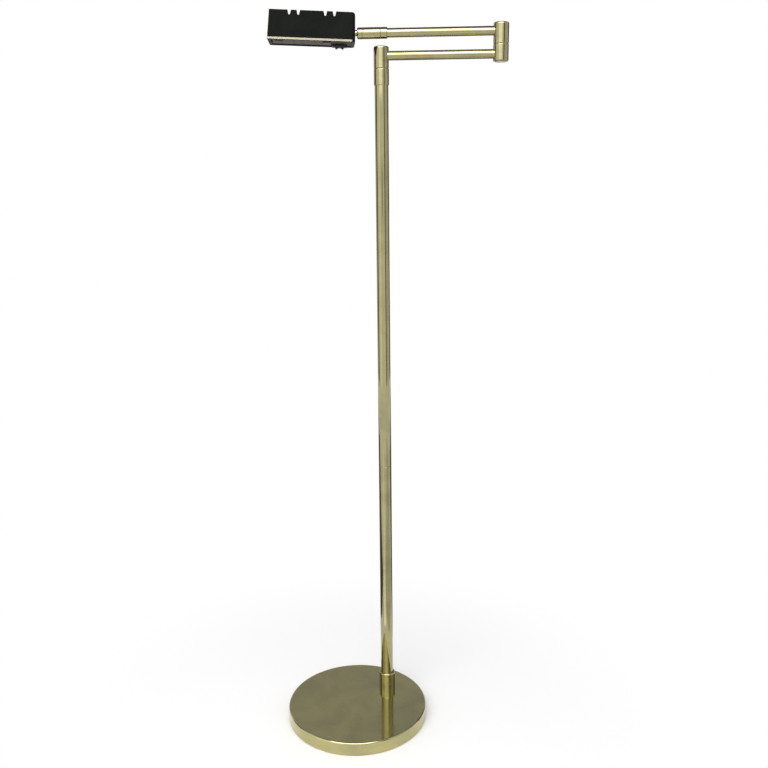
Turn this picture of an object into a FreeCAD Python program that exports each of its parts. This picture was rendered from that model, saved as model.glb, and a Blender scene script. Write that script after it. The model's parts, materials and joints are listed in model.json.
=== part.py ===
import FreeCAD, Part
import os
import re
import Sketcher
from FreeCAD import Vector

# Swing arm floor lamp: weighted disc base, two-piece pole, two folding arms,
# ball swivel and a tent-shaped shade with a linear bulb.
# Millimetres. The origin is the centre of the base on the floor, +X runs along
# the lower arm, from the pole to the elbow, and +Z is up.

CELLS = {
    # Base
    "base_dia": 247.6,
    "base_height": 23.6,
    "base_round": 2.8,
    "cover_wall": 1.2,
    "cover_lift": 0.6,
    "felt_dia": 240,
    "felt_thick": 2,
    "weight_dia": 244,
    "weight_recess_dia": 196,
    "weight_recess": 7,
    "channel_wide": 12.4,
    "channel_high": 10,
    "bushing_height": 12,
    "bushing_dia": 10,
    "bushing_flange": 14,
    "bushing_bore": 6.6,
    "bushing_barb": 0.7,
    "bushing_barb_long": 2.1,
    "bushing_proud": 2,
    "spindle_play": 0.4,
    # Foot and pole
    "pole_x": 49.8,
    "pole_y": 63.4,
    "foot_dia": 29.4,
    "foot_high": 25.4,
    "foot_floor": 6,
    "foot_round": 2.6,
    "washer_thick": 1,
    "thread_dia": 10,
    "thread_bore": 6.4,
    "pole_dia": 22.2,
    "pole_wall": 1.2,
    "pole_seam": 454,
    "joiner_long": 64,
    "joiner_bore": 13,
    "neck_ring_low": 1094.2,
    "neck_ring_top": 1120.0,
    "neck_ring_dia": 24.5,
    "neck_ring_web": 6,
    "pole_lead_low": 8,
    "pole_lead_long": 1060,
    # Knuckles and their pivots
    "pole_knuckle_dia": 24.3,
    "pole_knuckle_low": 1120.4,
    "pole_knuckle_top": 1153.8,
    "elbow_dia": 24.4,
    "elbow_low": 1127,
    "elbow_seam_low": 1153.6,
    "elbow_seam_top": 1154.0,
    "elbow_top": 1186.2,
    "cavity_dia": 17,
    "knuckle_floor": 5.5,
    "knuckle_round": 2.8,
    "lid_dia": 18.2,
    "lid_thick": 3.4,
    "seam_bevel": 0.7,
    "running_gap": 0.05,
    "face_gap": 0.03,
    "seam_washer_dia": 21.5,
    "wave_washer_dia": 15.4,
    "wave_washer": 1.4,
    "nut_across": 14,
    "nut_thick": 5.4,
    "stem_rise": 1.2,
    "stem_flange": 15,
    "flange_thick": 2.4,
    # Arms
    "arm_dia": 14.5,
    "arm_wall": 1,
    "arm_inset": 9,
    "arm_reach": 189.1,
    "arm_low": 1139.3,
    "arm_high": 1173.6,
    "fold_angle": 180,
    "lead_dia": 5,
    "lead_inset": 1,
    # Swivel at the end of the upper arm, measured from the elbow's axis
    "swivel_dia": 17.8,
    "ring_start": 179.1,
    "ring_end": 189.4,
    "sleeve_start": 189.7,
    "sleeve_floor": 194.5,
    "spigot_end": 199,
    "spigot_dia": 11.8,
    "clip_start": 195,
    "clip_thick": 1.2,
    "clip_groove_dia": 10.4,
    "clip_dia": 14.4,
    "sleeve_bore": 15.2,
    "cap_seat_dia": 16.3,
    "skirt_start": 213,
    "cap_seam": 218.5,
    "swivel_end": 226.8,
    "spring_stop_at": 202,
    "spring_stop_thick": 2.5,
    "spring_wire": 1.2,
    "spring_dia": 12.4,
    "spring_turns": 3,
    "ball_cup_start": 211.5,
    "ball_cup_end": 217.5,
    "ball_cup_bore": 8,
    "ball_at": 221.3,
    "ball_dia": 14.6,
    "lip_dia": 12.9,
    "lip_start": 221.9,
    "mouth_dia": 14.4,
    "mouth_depth": 2,
    "mouth_bevel": 1.2,
    "stud_neck_dia": 9.5,
    "stud_thread_dia": 9,
    "stud_bore": 4.6,
    "stud_long": 21,
    # Shade, measured from the ball's centre along the neck
    "head_pan": 7.65,
    "head_lift": 2.1,
    "shade_start": 9.3,
    "shade_long": 136.2,
    "shade_wide": 71,
    "shade_high": 48.2,
    "ridge_wide": 8,
    "end_lean": 1.2,
    "rim_drop": 17.4,
    "shade_wall": 1,
    "shade_round": 2.4,
    "neck_end_round": 5,
    "hem_wide": 4,
    "vent_outer": 35.4,
    "vent_inner": 21.1,
    "vent_top_wide": 5.5,
    "vent_low_wide": 2.3,
    "vent_deep": 8,
    "vent_round": 0.8,
    "trim_high": 3.2,
    "trim_thick": 0.5,
    # Lamp fittings inside the shade, placed from its far end
    "reflector_wall": 0.6,
    "reflector_wide": 64,
    "reflector_top": 24,
    "reflector_high": 30,
    "reflector_far": 2.5,
    "reflector_long": 96.5,
    "reflector_bend": 9,
    "holder_far": 17,
    "holder_near": 91,
    "holder_long": 12,
    "holder_wide": 15,
    "holder_low": 0.4,
    "holder_high": 20,
    "holder_round": 2,
    "socket_dia": 9,
    "socket_deep": 6.2,
    "bulb_height": 12,
    "bulb_dia": 11,
    "bulb_tip_dia": 7,
    "bulb_glass": 52,
    "bulb_long": 74,
    "bulb_round": 3,
    "bracket_thick": 1.2,
    "bracket_wide": 10,
    "bracket_foot": 9,
    "screw_dia": 3,
    "screw_head": 5.6,
    "screw_deep": 3.2,
    "screw_head_high": 1.8,
    # Rocker switch in the shade's underside
    "plate_long": 35.4,
    "plate_side": 32.4,
    "plate_thick": 1,
    "switch_from_far": 112.5,
    "switch_side": 22,
    "bezel_long": 24,
    "bezel_wide": 13,
    "bezel_drop": 3.4,
    "bezel_bevel": 1.4,
    "housing_roof": 1.2,
    "pin_inset": 0.8,
    "housing_long": 20,
    "housing_wide": 11.4,
    "housing_high": 7,
    "well_long": 15,
    "well_wide": 9.6,
    "pivot_rise": 1.9,
    "rocker_long": 13.6,
    "rocker_gap": 0.35,
    "rocker_pin_dia": 1.6,
    "rocker_ends": 2.8,
    "rocker_middle": 0.9,
    "rocker_inside": 4.9,
    "rocker_crest": 1,
    "rocker_crest_end": 2.4,
    "rocker_dip": 4.4,
}

doc = FreeCAD.newDocument("swing_arm_floor_lamp")
sizes = doc.addObject("Spreadsheet::Sheet", "Sizes")
for row, (alias, number) in enumerate(CELLS.items(), start=1):
    sizes.set(f"A{row}", alias)
    sizes.set(f"B{row}", str(number))
    sizes.setAlias(f"B{row}", alias)
doc.recompute()

parts = []


def bound(formula):
    """A size formula with every cell's name made a reference to the sheet."""
    return re.sub(r"[a-z_]\w+", lambda word: cell(word.group()), str(formula))


def cell(word):
    return f"Sizes.{word}" if word in CELLS else word


def size(formula):
    """The present value of a size formula."""
    return float(sizes.evalExpression(bound(formula)))


def place(x="0", y="0", z="0", yaw="0", pitch="0"):
    """A placement formula; yaw turns about +Z and pitch then lowers the nose."""
    spot = f"create(<<vector>>; {bound(x)}; {bound(y)}; {bound(z)})"
    turn = f"create(<<rotation>>; {bound(yaw)}; {bound(pitch)}; 0)"
    return f"create(<<placement>>; {spot}; {turn})"


ELBOW_X = "(pole_x + arm_reach)"
POLE_SIDE = "atan2(pole_y; pole_x)"
AT_BASE = place()
AT_POLE = place("pole_x", "pole_y")
AT_ELBOW = place(ELBOW_X, "pole_y")
AT_ELBOW_BACK = place(ELBOW_X, "pole_y", yaw="180")
AT_ELBOW_UPPER = place(ELBOW_X, "pole_y", yaw="fold_angle")
ON_LOWER_ARM = place("pole_x", "pole_y", "arm_low")
ON_UPPER_ARM = place(ELBOW_X, "pole_y", "arm_high", "fold_angle")
ON_HEAD = place(
    f"{ELBOW_X} + ball_at * cos(fold_angle)",
    "pole_y + ball_at * sin(fold_angle)",
    "arm_high",
    "fold_angle + head_pan",
    "-head_lift",
)


def new_body(label, where):
    """An empty body that will be written to a file of its own."""
    body = doc.addObject("PartDesign::Body", label)
    body.Label = label
    body.setExpression("Placement", where)
    doc.recompute()
    parts.append(body)
    return body


def new_sketch(body, name, role, offset):
    """A sketch on one of the body's own origin planes, moved along its normal."""
    sketch = body.newObject("Sketcher::SketchObject", f"{body.Label}_{name}")
    plane = next(item for item in body.Origin.OriginFeatures if item.Role == role)
    sketch.AttachmentSupport = [(plane, "")]
    sketch.MapMode = "FlatFace"
    sketch.setExpression(".AttachmentOffset.Base.z", bound(offset))
    return sketch


def fix_point(sketch, geometry, point, x, y):
    """Tie a sketch point to two size formulas."""
    for kind, formula in (("DistanceX", x), ("DistanceY", y)):
        rule = Sketcher.Constraint(kind, -1, 1, geometry, point, size(formula))
        index = sketch.addConstraint(rule)
        sketch.setExpression(f"Constraints[{index}]", bound(formula))


def add_outline(sketch, corners):
    """A closed outline of straight runs through corners given as formulas."""
    first = sketch.GeometryCount
    spots = [Vector(size(x), size(y), 0) for x, y in corners]
    count = len(spots)
    for index, spot in enumerate(spots):
        line = Part.LineSegment(spot, spots[(index + 1) % count])
        sketch.addGeometry(line)
    for index in range(count):
        following = first + (index + 1) % count
        sketch.addConstraint(Sketcher.Constraint("Coincident", first + index, 2, following, 1))
    for index, (x, y) in enumerate(corners):
        fix_point(sketch, first + index, 1, x, y)


def add_circle(sketch, x, y, diameter):
    circle = Part.Circle(Vector(size(x), size(y), 0), Vector(0, 0, 1), size(diameter) / 2)
    index = sketch.addGeometry(circle)
    fix_point(sketch, index, 3, x, y)
    rule = sketch.addConstraint(Sketcher.Constraint("Diameter", index, size(diameter)))
    sketch.setExpression(f"Constraints[{rule}]", bound(diameter))


def outline(body, name, role, *shapes, offset="0"):
    sketch = new_sketch(body, name, role, offset)
    for corners in shapes:
        add_outline(sketch, corners)
    return sketch


def circles(body, name, role, *rounds, offset="0"):
    sketch = new_sketch(body, name, role, offset)
    for x, y, diameter in rounds:
        add_circle(sketch, x, y, diameter)
    return sketch


def rectangle(x_low, x_high, y_low, y_high):
    return [(x_low, y_low), (x_high, y_low), (x_high, y_high), (x_low, y_high)]


def feature(body, kind, sketch, **settings):
    """Add a feature and make sure that it changed the body's volume."""
    before = body.Shape.Volume if body.Tip else 0
    step = body.newObject(f"PartDesign::{kind}", f"{body.Label}_{kind}_{len(body.Group)}")
    if sketch:
        step.Profile = sketch
        sketch.Visibility = False
    for name, setting in settings.items():
        if isinstance(setting, str) and name in ("Length", "Radius", "Size", "Value"):
            step.setExpression(name, bound(setting))
        else:
            setattr(step, name, setting)
    doc.recompute()
    if abs(body.Shape.Volume - before) < 1e-6:
        raise RuntimeError(f"{step.Name} changes nothing")
    return step


def pad(body, sketch, length, **settings):
    return feature(body, "Pad", sketch, Length=length, **settings)


def pocket(body, sketch, length, **settings):
    return feature(body, "Pocket", sketch, Length=length, **settings)


def through(body, sketch):
    return feature(body, "Pocket", sketch, Type="ThroughAll", Midplane=True)


def turned(label, where, corners, along="Z"):
    """A lathe-turned body; its corners are (radius, position along the axis)."""
    body = new_body(label, where)
    axis = "V_Axis"
    if along == "X":
        corners = [(position, radius) for radius, position in corners]
        axis = "H_Axis"
    sketch = outline(body, "profile", "XZ_Plane", corners)
    feature(body, "Revolution", sketch, ReferenceAxis=(sketch, [axis]), Angle=360)
    return body


def ring(inner, outer, low, high):
    """The section of a plain ring."""
    return [(inner, low), (outer, low), (outer, high), (inner, high)]


def circle_at(radius, position, along="Z"):
    """Picks a round edge by its radius and its place on the axis."""
    wanted = (size(radius), size(position))

    def match(edge):
        if edge.Degenerated or not isinstance(edge.Curve, Part.Circle):
            return False
        centre = edge.Curve.Center
        found = (edge.Curve.Radius, centre.z if along == "Z" else centre.x)
        return all(abs(a - b) < 0.02 for a, b in zip(wanted, found))

    return match


def edge_names(shape, *matches):
    return [
        f"Edge{index}"
        for index, edge in enumerate(shape.Edges, start=1)
        if any(match(edge) for match in matches)
    ]


def face_names(body, match):
    faces = enumerate(body.Tip.Shape.Faces, start=1)
    return [f"Face{index}" for index, face in faces if match(face)]


def rounded(body, radius, *matches):
    base = body.Tip
    return feature(body, "Fillet", None, Base=(base, edge_names(base.Shape, *matches)), Radius=radius)


def bevelled(body, width, *matches):
    base = body.Tip
    return feature(body, "Chamfer", None, Base=(base, edge_names(base.Shape, *matches)), Size=width)


def ball(body, kind, diameter, x):
    """Add or take away a sphere on the body's X axis."""
    before = body.Shape.Volume
    sphere = body.newObject(f"PartDesign::{kind}Sphere", f"{body.Label}_{kind}_sphere")
    sphere.setExpression("Radius", bound(f"({diameter}) / 2"))
    sphere.setExpression(".Placement.Base.x", bound(x))
    doc.recompute()
    if abs(body.Shape.Volume - before) < 1e-6:
        raise RuntimeError(f"{sphere.Name} changes nothing")


def hex_nut(label, where, role, offset, across=None, hole="thread_dia", thick="nut_thick"):
    across = across or "nut_across"
    body = new_body(label, where)
    corners = [
        (f"{across} / sqrt(3) * cos({angle})", f"{across} / sqrt(3) * sin({angle})")
        for angle in range(0, 360, 60)
    ]
    sketch = outline(body, "hexagon", role, corners, offset=offset)
    add_circle(sketch, "0", "0", hole)
    pad(body, sketch, thick)
    return body


def washer(label, where, outer, low, thick, hole="thread_dia"):
    return turned(label, where, ring(f"{hole} / 2", f"{outer} / 2", low, f"{low} + {thick}"))


def lead(label, where, length):
    """A straight stretch of two-core lead inside a tube, along its placement's Z."""
    cylinder = doc.addObject("Part::Cylinder", label)
    cylinder.Label = label
    cylinder.setExpression("Radius", bound("lead_dia / 2"))
    cylinder.setExpression("Height", bound(length))
    cylinder.setExpression("Placement", where)
    parts.append(cylinder)
    return cylinder


def make_base():
    spindle = ("hypot(pole_x; pole_y)", "0", "thread_dia + spindle_play")
    rear = place(yaw=POLE_SIDE)

    cover = turned("base_cover", rear, [
        ("0", "base_height - cover_wall"),
        ("base_dia / 2 - cover_wall", "base_height - cover_wall"),
        ("base_dia / 2 - cover_wall", "cover_lift"),
        ("base_dia / 2", "cover_lift"),
        ("base_dia / 2", "base_height"),
        ("0", "base_height"),
    ])
    rounded(cover, "base_round", circle_at("base_dia / 2", "base_height"))
    through(cover, circles(cover, "spindle_hole", "XY_Plane", spindle))
    outlet = circles(cover, "cord_hole", "YZ_Plane", ("0", "bushing_height", "bushing_dia"))
    pocket(cover, outlet, "base_dia", Reversed=True)

    weight = turned("base_weight", rear, [
        ("0", "felt_thick + weight_recess"),
        ("weight_recess_dia / 2", "felt_thick + weight_recess"),
        ("weight_recess_dia / 2", "felt_thick"),
        ("weight_dia / 2", "felt_thick"),
        ("weight_dia / 2", "base_height - cover_wall - base_round"),
        ("weight_dia / 2 - base_round", "base_height - cover_wall"),
        ("0", "base_height - cover_wall"),
    ])
    through(weight, circles(weight, "spindle_hole", "XY_Plane", spindle))
    channel = rectangle(
        "weight_recess_dia / 2 - 2", "weight_dia / 2 + 1", "-channel_wide / 2", "channel_wide / 2"
    )
    channel_top = "felt_thick + weight_recess + channel_high"
    slot = outline(weight, "cord_channel", "XY_Plane", channel, offset=channel_top)
    pocket(weight, slot, "weight_recess + channel_high + 1")

    turned("felt_pad", AT_BASE, ring("0", "felt_dia / 2", "0", "felt_thick"))

    flange_at = "base_dia / 2"
    barb_at = f"{flange_at} - cover_wall - 0.3"
    turned("cord_bushing", place(z="bushing_height", yaw=POLE_SIDE), [
        ("bushing_bore / 2", f"{barb_at} - bushing_barb_long"),
        ("bushing_dia / 2 + bushing_barb", f"{barb_at} - bushing_barb_long"),
        ("bushing_dia / 2 + bushing_barb", barb_at),
        ("bushing_dia / 2", barb_at),
        ("bushing_dia / 2", f"{flange_at} + 0.1"),
        ("bushing_flange / 2", f"{flange_at} + 0.1"),
        ("bushing_flange / 2 - bushing_barb", f"{flange_at} + bushing_proud"),
        ("bushing_bore / 2 + bushing_barb", f"{flange_at} + bushing_proud"),
        ("bushing_bore / 2", f"{flange_at} + bushing_proud - bushing_barb"),
    ], along="X")


def make_foot():
    collar = turned("foot_collar", AT_POLE, [
        ("thread_dia / 2", "base_height"),
        ("foot_dia / 2", "base_height"),
        ("foot_dia / 2", "base_height + foot_high"),
        ("pole_dia / 2", "base_height + foot_high"),
        ("pole_dia / 2", "base_height + foot_floor"),
        ("thread_dia / 2", "base_height + foot_floor"),
    ])
    rounded(collar, "foot_round", circle_at("foot_dia / 2", "base_height + foot_high"))
    bevelled(collar, "seam_bevel / 2", circle_at("foot_dia / 2", "base_height"))

    recess = "felt_thick + weight_recess"
    turned("foot_nipple", AT_POLE, ring(
        "thread_bore / 2", "thread_dia / 2", f"{recess} - nut_thick - 0.8", "base_height + foot_floor"
    ))
    hex_nut(
        "foot_nut", AT_POLE, "XY_Plane", f"{recess} - washer_thick - nut_thick + 1",
        thick="nut_thick - 1",
    )
    washer("foot_washer", AT_POLE, "nut_across + 6", f"{recess} - washer_thick", "washer_thick")


def make_pole():
    bore = "pole_dia / 2 - pole_wall"
    start = "base_height + foot_floor"
    end = "neck_ring_top - neck_ring_web"
    for label, low, high in (
        ("pole_lower_tube", start, "pole_seam - seam_bevel / 8"),
        ("pole_upper_tube", "pole_seam + seam_bevel / 8", end),
    ):
        tube = turned(label, AT_POLE, ring(bore, "pole_dia / 2", low, high))
        seam_edge = high if label == "pole_lower_tube" else low
        bevelled(tube, "seam_bevel / 2", circle_at("pole_dia / 2", seam_edge))
    turned("pole_joiner", AT_POLE, ring(
        "joiner_bore / 2", bore, "pole_seam - joiner_long / 2", "pole_seam + joiner_long / 2"
    ))

    neck_ring = turned("pole_neck_ring", AT_POLE, [
        ("pole_dia / 2", "neck_ring_low"),
        ("neck_ring_dia / 2", "neck_ring_low"),
        ("neck_ring_dia / 2", "neck_ring_top"),
        ("thread_dia / 2", "neck_ring_top"),
        ("thread_dia / 2", end),
        ("pole_dia / 2", end),
    ])
    bevelled(
        neck_ring,
        "seam_bevel",
        circle_at("neck_ring_dia / 2", "neck_ring_low"),
        circle_at("neck_ring_dia / 2", "neck_ring_top"),
    )
    lead_low = "base_height + foot_floor + pole_lead_low"
    lead("pole_lead", place("pole_x", "pole_y", lead_low), "pole_lead_long")


def make_upper_knuckle(name, where, dia, bottom, top, arm_level):
    """A knuckle that turns on the stem below it; the arm enters along +X."""
    floor_top = f"{bottom} + knuckle_floor"
    lid_low = f"{top} - lid_thick"
    knuckle = turned(f"{name}_knuckle", where, [
        ("thread_dia / 2 + running_gap", bottom),
        (f"{dia} / 2", bottom),
        (f"{dia} / 2", top),
        ("lid_dia / 2", top),
        ("lid_dia / 2", lid_low),
        ("cavity_dia / 2", lid_low),
        ("cavity_dia / 2", floor_top),
        ("thread_dia / 2 + running_gap", floor_top),
    ])
    rounded(knuckle, "knuckle_round", circle_at(f"{dia} / 2", top))
    bevelled(knuckle, "seam_bevel", circle_at(f"{dia} / 2", bottom))
    arm_hole = circles(knuckle, "arm_hole", "YZ_Plane", ("0", arm_level, "arm_dia"))
    pocket(knuckle, arm_hole, dia, Reversed=True)
    lid = turned(f"{name}_lid", where, [
        ("0", lid_low), ("lid_dia / 2", lid_low), ("lid_dia / 2", top), ("0", top)
    ])
    bevelled(lid, "seam_bevel / 3", circle_at("lid_dia / 2", top))


def make_pivot(name, where, seam_low, seam_high, stem_low, grip_low):
    """The hollow stem of a pivot, its seam washer, wave washer and nut."""
    floor_top = f"{seam_high} + knuckle_floor"
    nut_low = f"{floor_top} + face_gap + wave_washer"
    stem_top = f"{nut_low} + nut_thick + stem_rise"
    turned(f"{name}_stem", where, grip_low + [
        ("thread_dia / 2", stem_top),
        ("thread_bore / 2", stem_top),
        ("thread_bore / 2", stem_low),
    ])
    seam_thick = f"{seam_high} - {seam_low} - face_gap"
    washer(f"{name}_seam_washer", where, "seam_washer_dia", seam_low, seam_thick)
    washer(f"{name}_wave_washer", where, "wave_washer_dia", f"{floor_top} + face_gap", "wave_washer")
    hex_nut(f"{name}_nut", where, "XY_Plane", nut_low)


def make_pole_head():
    web_low = "neck_ring_top - neck_ring_web"
    stem_low = f"{web_low} - nut_thick - 1"
    plain_start = [("thread_dia / 2", stem_low)]
    make_upper_knuckle(
        "pole", AT_POLE, "pole_knuckle_dia", "pole_knuckle_low", "pole_knuckle_top", "arm_low"
    )
    make_pivot("pole", AT_POLE, "neck_ring_top", "pole_knuckle_low", stem_low, plain_start)
    hex_nut("pole_stem_nut", AT_POLE, "XY_Plane", f"{web_low} - nut_thick")


def make_elbow():
    web_low = "elbow_seam_low - knuckle_floor"
    lid_high = "elbow_low + lid_thick"
    lower = turned("elbow_lower_knuckle", AT_ELBOW_BACK, [
        ("lid_dia / 2", "elbow_low"),
        ("elbow_dia / 2", "elbow_low"),
        ("elbow_dia / 2", "elbow_seam_low"),
        ("thread_dia / 2", "elbow_seam_low"),
        ("thread_dia / 2", web_low),
        ("cavity_dia / 2", web_low),
        ("cavity_dia / 2", lid_high),
        ("lid_dia / 2", lid_high),
    ])
    rounded(lower, "knuckle_round", circle_at("elbow_dia / 2", "elbow_low"))
    bevelled(lower, "seam_bevel", circle_at("elbow_dia / 2", "elbow_seam_low"))
    arm_hole = circles(lower, "arm_hole", "YZ_Plane", ("0", "arm_low", "arm_dia"))
    pocket(lower, arm_hole, "elbow_dia", Reversed=True)
    lid = turned("elbow_lower_lid", AT_ELBOW, [
        ("0", "elbow_low"), ("lid_dia / 2", "elbow_low"), ("lid_dia / 2", lid_high), ("0", lid_high)
    ])
    bevelled(lid, "seam_bevel / 3", circle_at("lid_dia / 2", "elbow_low"))

    make_upper_knuckle(
        "elbow_upper", AT_ELBOW_UPPER, "elbow_dia", "elbow_seam_top", "elbow_top", "arm_high"
    )
    stem_low = f"{web_low} - flange_thick"
    flanged_start = [
        ("stem_flange / 2", stem_low),
        ("stem_flange / 2", web_low),
        ("thread_dia / 2", web_low),
    ]
    make_pivot("elbow", AT_ELBOW, "elbow_seam_low", "elbow_seam_top", stem_low, flanged_start)


def make_arms():
    bore = "arm_dia / 2 - arm_wall"
    turned("lower_arm_tube", ON_LOWER_ARM, ring(
        bore, "arm_dia / 2", "arm_inset", "arm_reach - arm_inset"
    ), along="X")
    tube_end = "ring_end - 3"
    upper_section = ring(bore, "arm_dia / 2", "arm_inset", tube_end)
    turned("upper_arm_tube", ON_UPPER_ARM, upper_section, along="X")
    lead_at = "(arm_inset + lead_inset)"
    lead(
        "lower_arm_lead",
        place(f"pole_x + {lead_at}", "pole_y", "arm_low", pitch="90"),
        f"arm_reach - 2 * {lead_at}",
    )
    lead("upper_arm_lead", place(
        f"{ELBOW_X} + {lead_at} * cos(fold_angle)",
        f"pole_y + {lead_at} * sin(fold_angle)",
        "arm_high",
        "fold_angle",
        "90",
    ), f"{tube_end} - lead_inset - {lead_at}")

    end_ring = turned("arm_end_ring", ON_UPPER_ARM, [
        ("arm_dia / 2", "ring_start"),
        ("swivel_dia / 2", "ring_start"),
        ("swivel_dia / 2", "ring_end"),
        ("spigot_dia / 2", "ring_end"),
        ("spigot_dia / 2", "clip_start"),
        ("clip_groove_dia / 2", "clip_start"),
        ("clip_groove_dia / 2", "clip_start + clip_thick"),
        ("spigot_dia / 2", "clip_start + clip_thick"),
        ("spigot_dia / 2", "spigot_end"),
        ("ball_cup_bore / 2", "spigot_end"),
        ("ball_cup_bore / 2", tube_end),
        ("arm_dia / 2", tube_end),
    ], along="X")
    rounded(end_ring, "seam_bevel * 1.5", circle_at("swivel_dia / 2", "ring_start", "X"))
    bevelled(end_ring, "seam_bevel / 2", circle_at("swivel_dia / 2", "ring_end", "X"))
    turned("sleeve_clip", ON_UPPER_ARM, ring(
        "clip_groove_dia / 2", "clip_dia / 2", "clip_start", "clip_start + clip_thick"
    ), along="X")


def make_swivel():
    seat_dia = "ball_dia + 2 * running_gap"
    sleeve = turned("swivel_sleeve", ON_UPPER_ARM, [
        ("spigot_dia / 2 + running_gap", "sleeve_start"),
        ("swivel_dia / 2", "sleeve_start"),
        ("swivel_dia / 2", "cap_seam"),
        ("cap_seat_dia / 2", "cap_seam"),
        ("cap_seat_dia / 2", "skirt_start"),
        ("sleeve_bore / 2", "skirt_start"),
        ("sleeve_bore / 2", "sleeve_floor"),
        ("spigot_dia / 2 + running_gap", "sleeve_floor"),
    ], along="X")
    bevelled(
        sleeve,
        "seam_bevel / 2",
        circle_at("swivel_dia / 2", "sleeve_start", "X"),
        circle_at("swivel_dia / 2", "cap_seam", "X"),
    )
    cap = turned("swivel_cap", ON_UPPER_ARM, [
        ("sleeve_bore / 2", "skirt_start"),
        ("cap_seat_dia / 2", "skirt_start"),
        ("cap_seat_dia / 2", "cap_seam"),
        ("swivel_dia / 2", "cap_seam"),
        ("swivel_dia / 2", "swivel_end"),
        ("mouth_dia / 2", "swivel_end"),
        ("lip_dia / 2", "swivel_end - mouth_depth"),
        ("lip_dia / 2", "lip_start"),
        ("sleeve_bore / 2", "lip_start"),
    ], along="X")
    bevelled(cap, "mouth_bevel", circle_at("swivel_dia / 2", "swivel_end", "X"))
    bevelled(cap, "seam_bevel / 2", circle_at("swivel_dia / 2", "cap_seam", "X"))
    ball(cap, "Subtractive", seat_dia, "ball_at")

    cup = turned("ball_cup", ON_UPPER_ARM, ring(
        "ball_cup_bore / 2", "sleeve_bore / 2 - 0.1", "ball_cup_start", "ball_cup_end"
    ), along="X")
    ball(cup, "Subtractive", seat_dia, "ball_at")
    turned("spring_stop", ON_UPPER_ARM, ring(
        "ball_cup_bore / 2", "sleeve_bore / 2", "spring_stop_at", "spring_stop_at + spring_stop_thick"
    ), along="X")

    spring = new_body("swivel_spring", ON_UPPER_ARM)
    low = "spring_stop_at + spring_stop_thick + spring_wire / 2"
    wire = circles(spring, "wire", "XZ_Plane", (low, "spring_dia / 2", "spring_wire"))
    room = size("ball_cup_start - spring_stop_at - spring_stop_thick - spring_wire")
    feature(
        spring, "AdditiveHelix", wire,
        ReferenceAxis=(wire, ["H_Axis"]), Mode="height-turns-angle", Height=room,
        Turns=size("spring_turns"),
    )


def make_stud():
    stud = turned("ball_stud", ON_HEAD, [
        ("stud_bore / 2", "0"),
        ("stud_neck_dia / 2", "0"),
        ("stud_neck_dia / 2", "shade_start"),
        ("stud_thread_dia / 2", "shade_start"),
        ("stud_thread_dia / 2", "stud_long"),
        ("stud_bore / 2", "stud_long"),
    ], along="X")
    ball(stud, "Additive", "ball_dia", "0")
    bore = circles(stud, "lead_bore", "YZ_Plane", ("0", "0", "stud_bore"))
    through(stud, bore)
    bevelled(stud, "seam_bevel", circle_at("stud_thread_dia / 2", "stud_long", "X"))

    inside = "shade_start + shade_wall"
    turned("stud_washer", ON_HEAD, ring(
        "stud_thread_dia / 2", "stud_thread_dia / 2 + 4", inside, f"{inside} + washer_thick"
    ), along="X")
    hex_nut(
        "stud_nut", ON_HEAD, "YZ_Plane", f"{inside} + washer_thick",
        hole="stud_thread_dia", thick="nut_thick - 1",
    )


FAR_END = "(shade_start + shade_long)"
SHADE_MIDDLE = "(shade_start + shade_long / 2)"
RIM = "(-rim_drop)"
HEM_TOP = f"({RIM} + shade_wall)"


def from_far(distance):
    """A place along the shade, measured back from its far end."""
    return f"({FAR_END} - ({distance}))"


def in_head(x="0", y="0", z="0"):
    """A placement in the head's tilted frame."""
    return f"{ON_HEAD} * {place(x, y, z)}"


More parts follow.
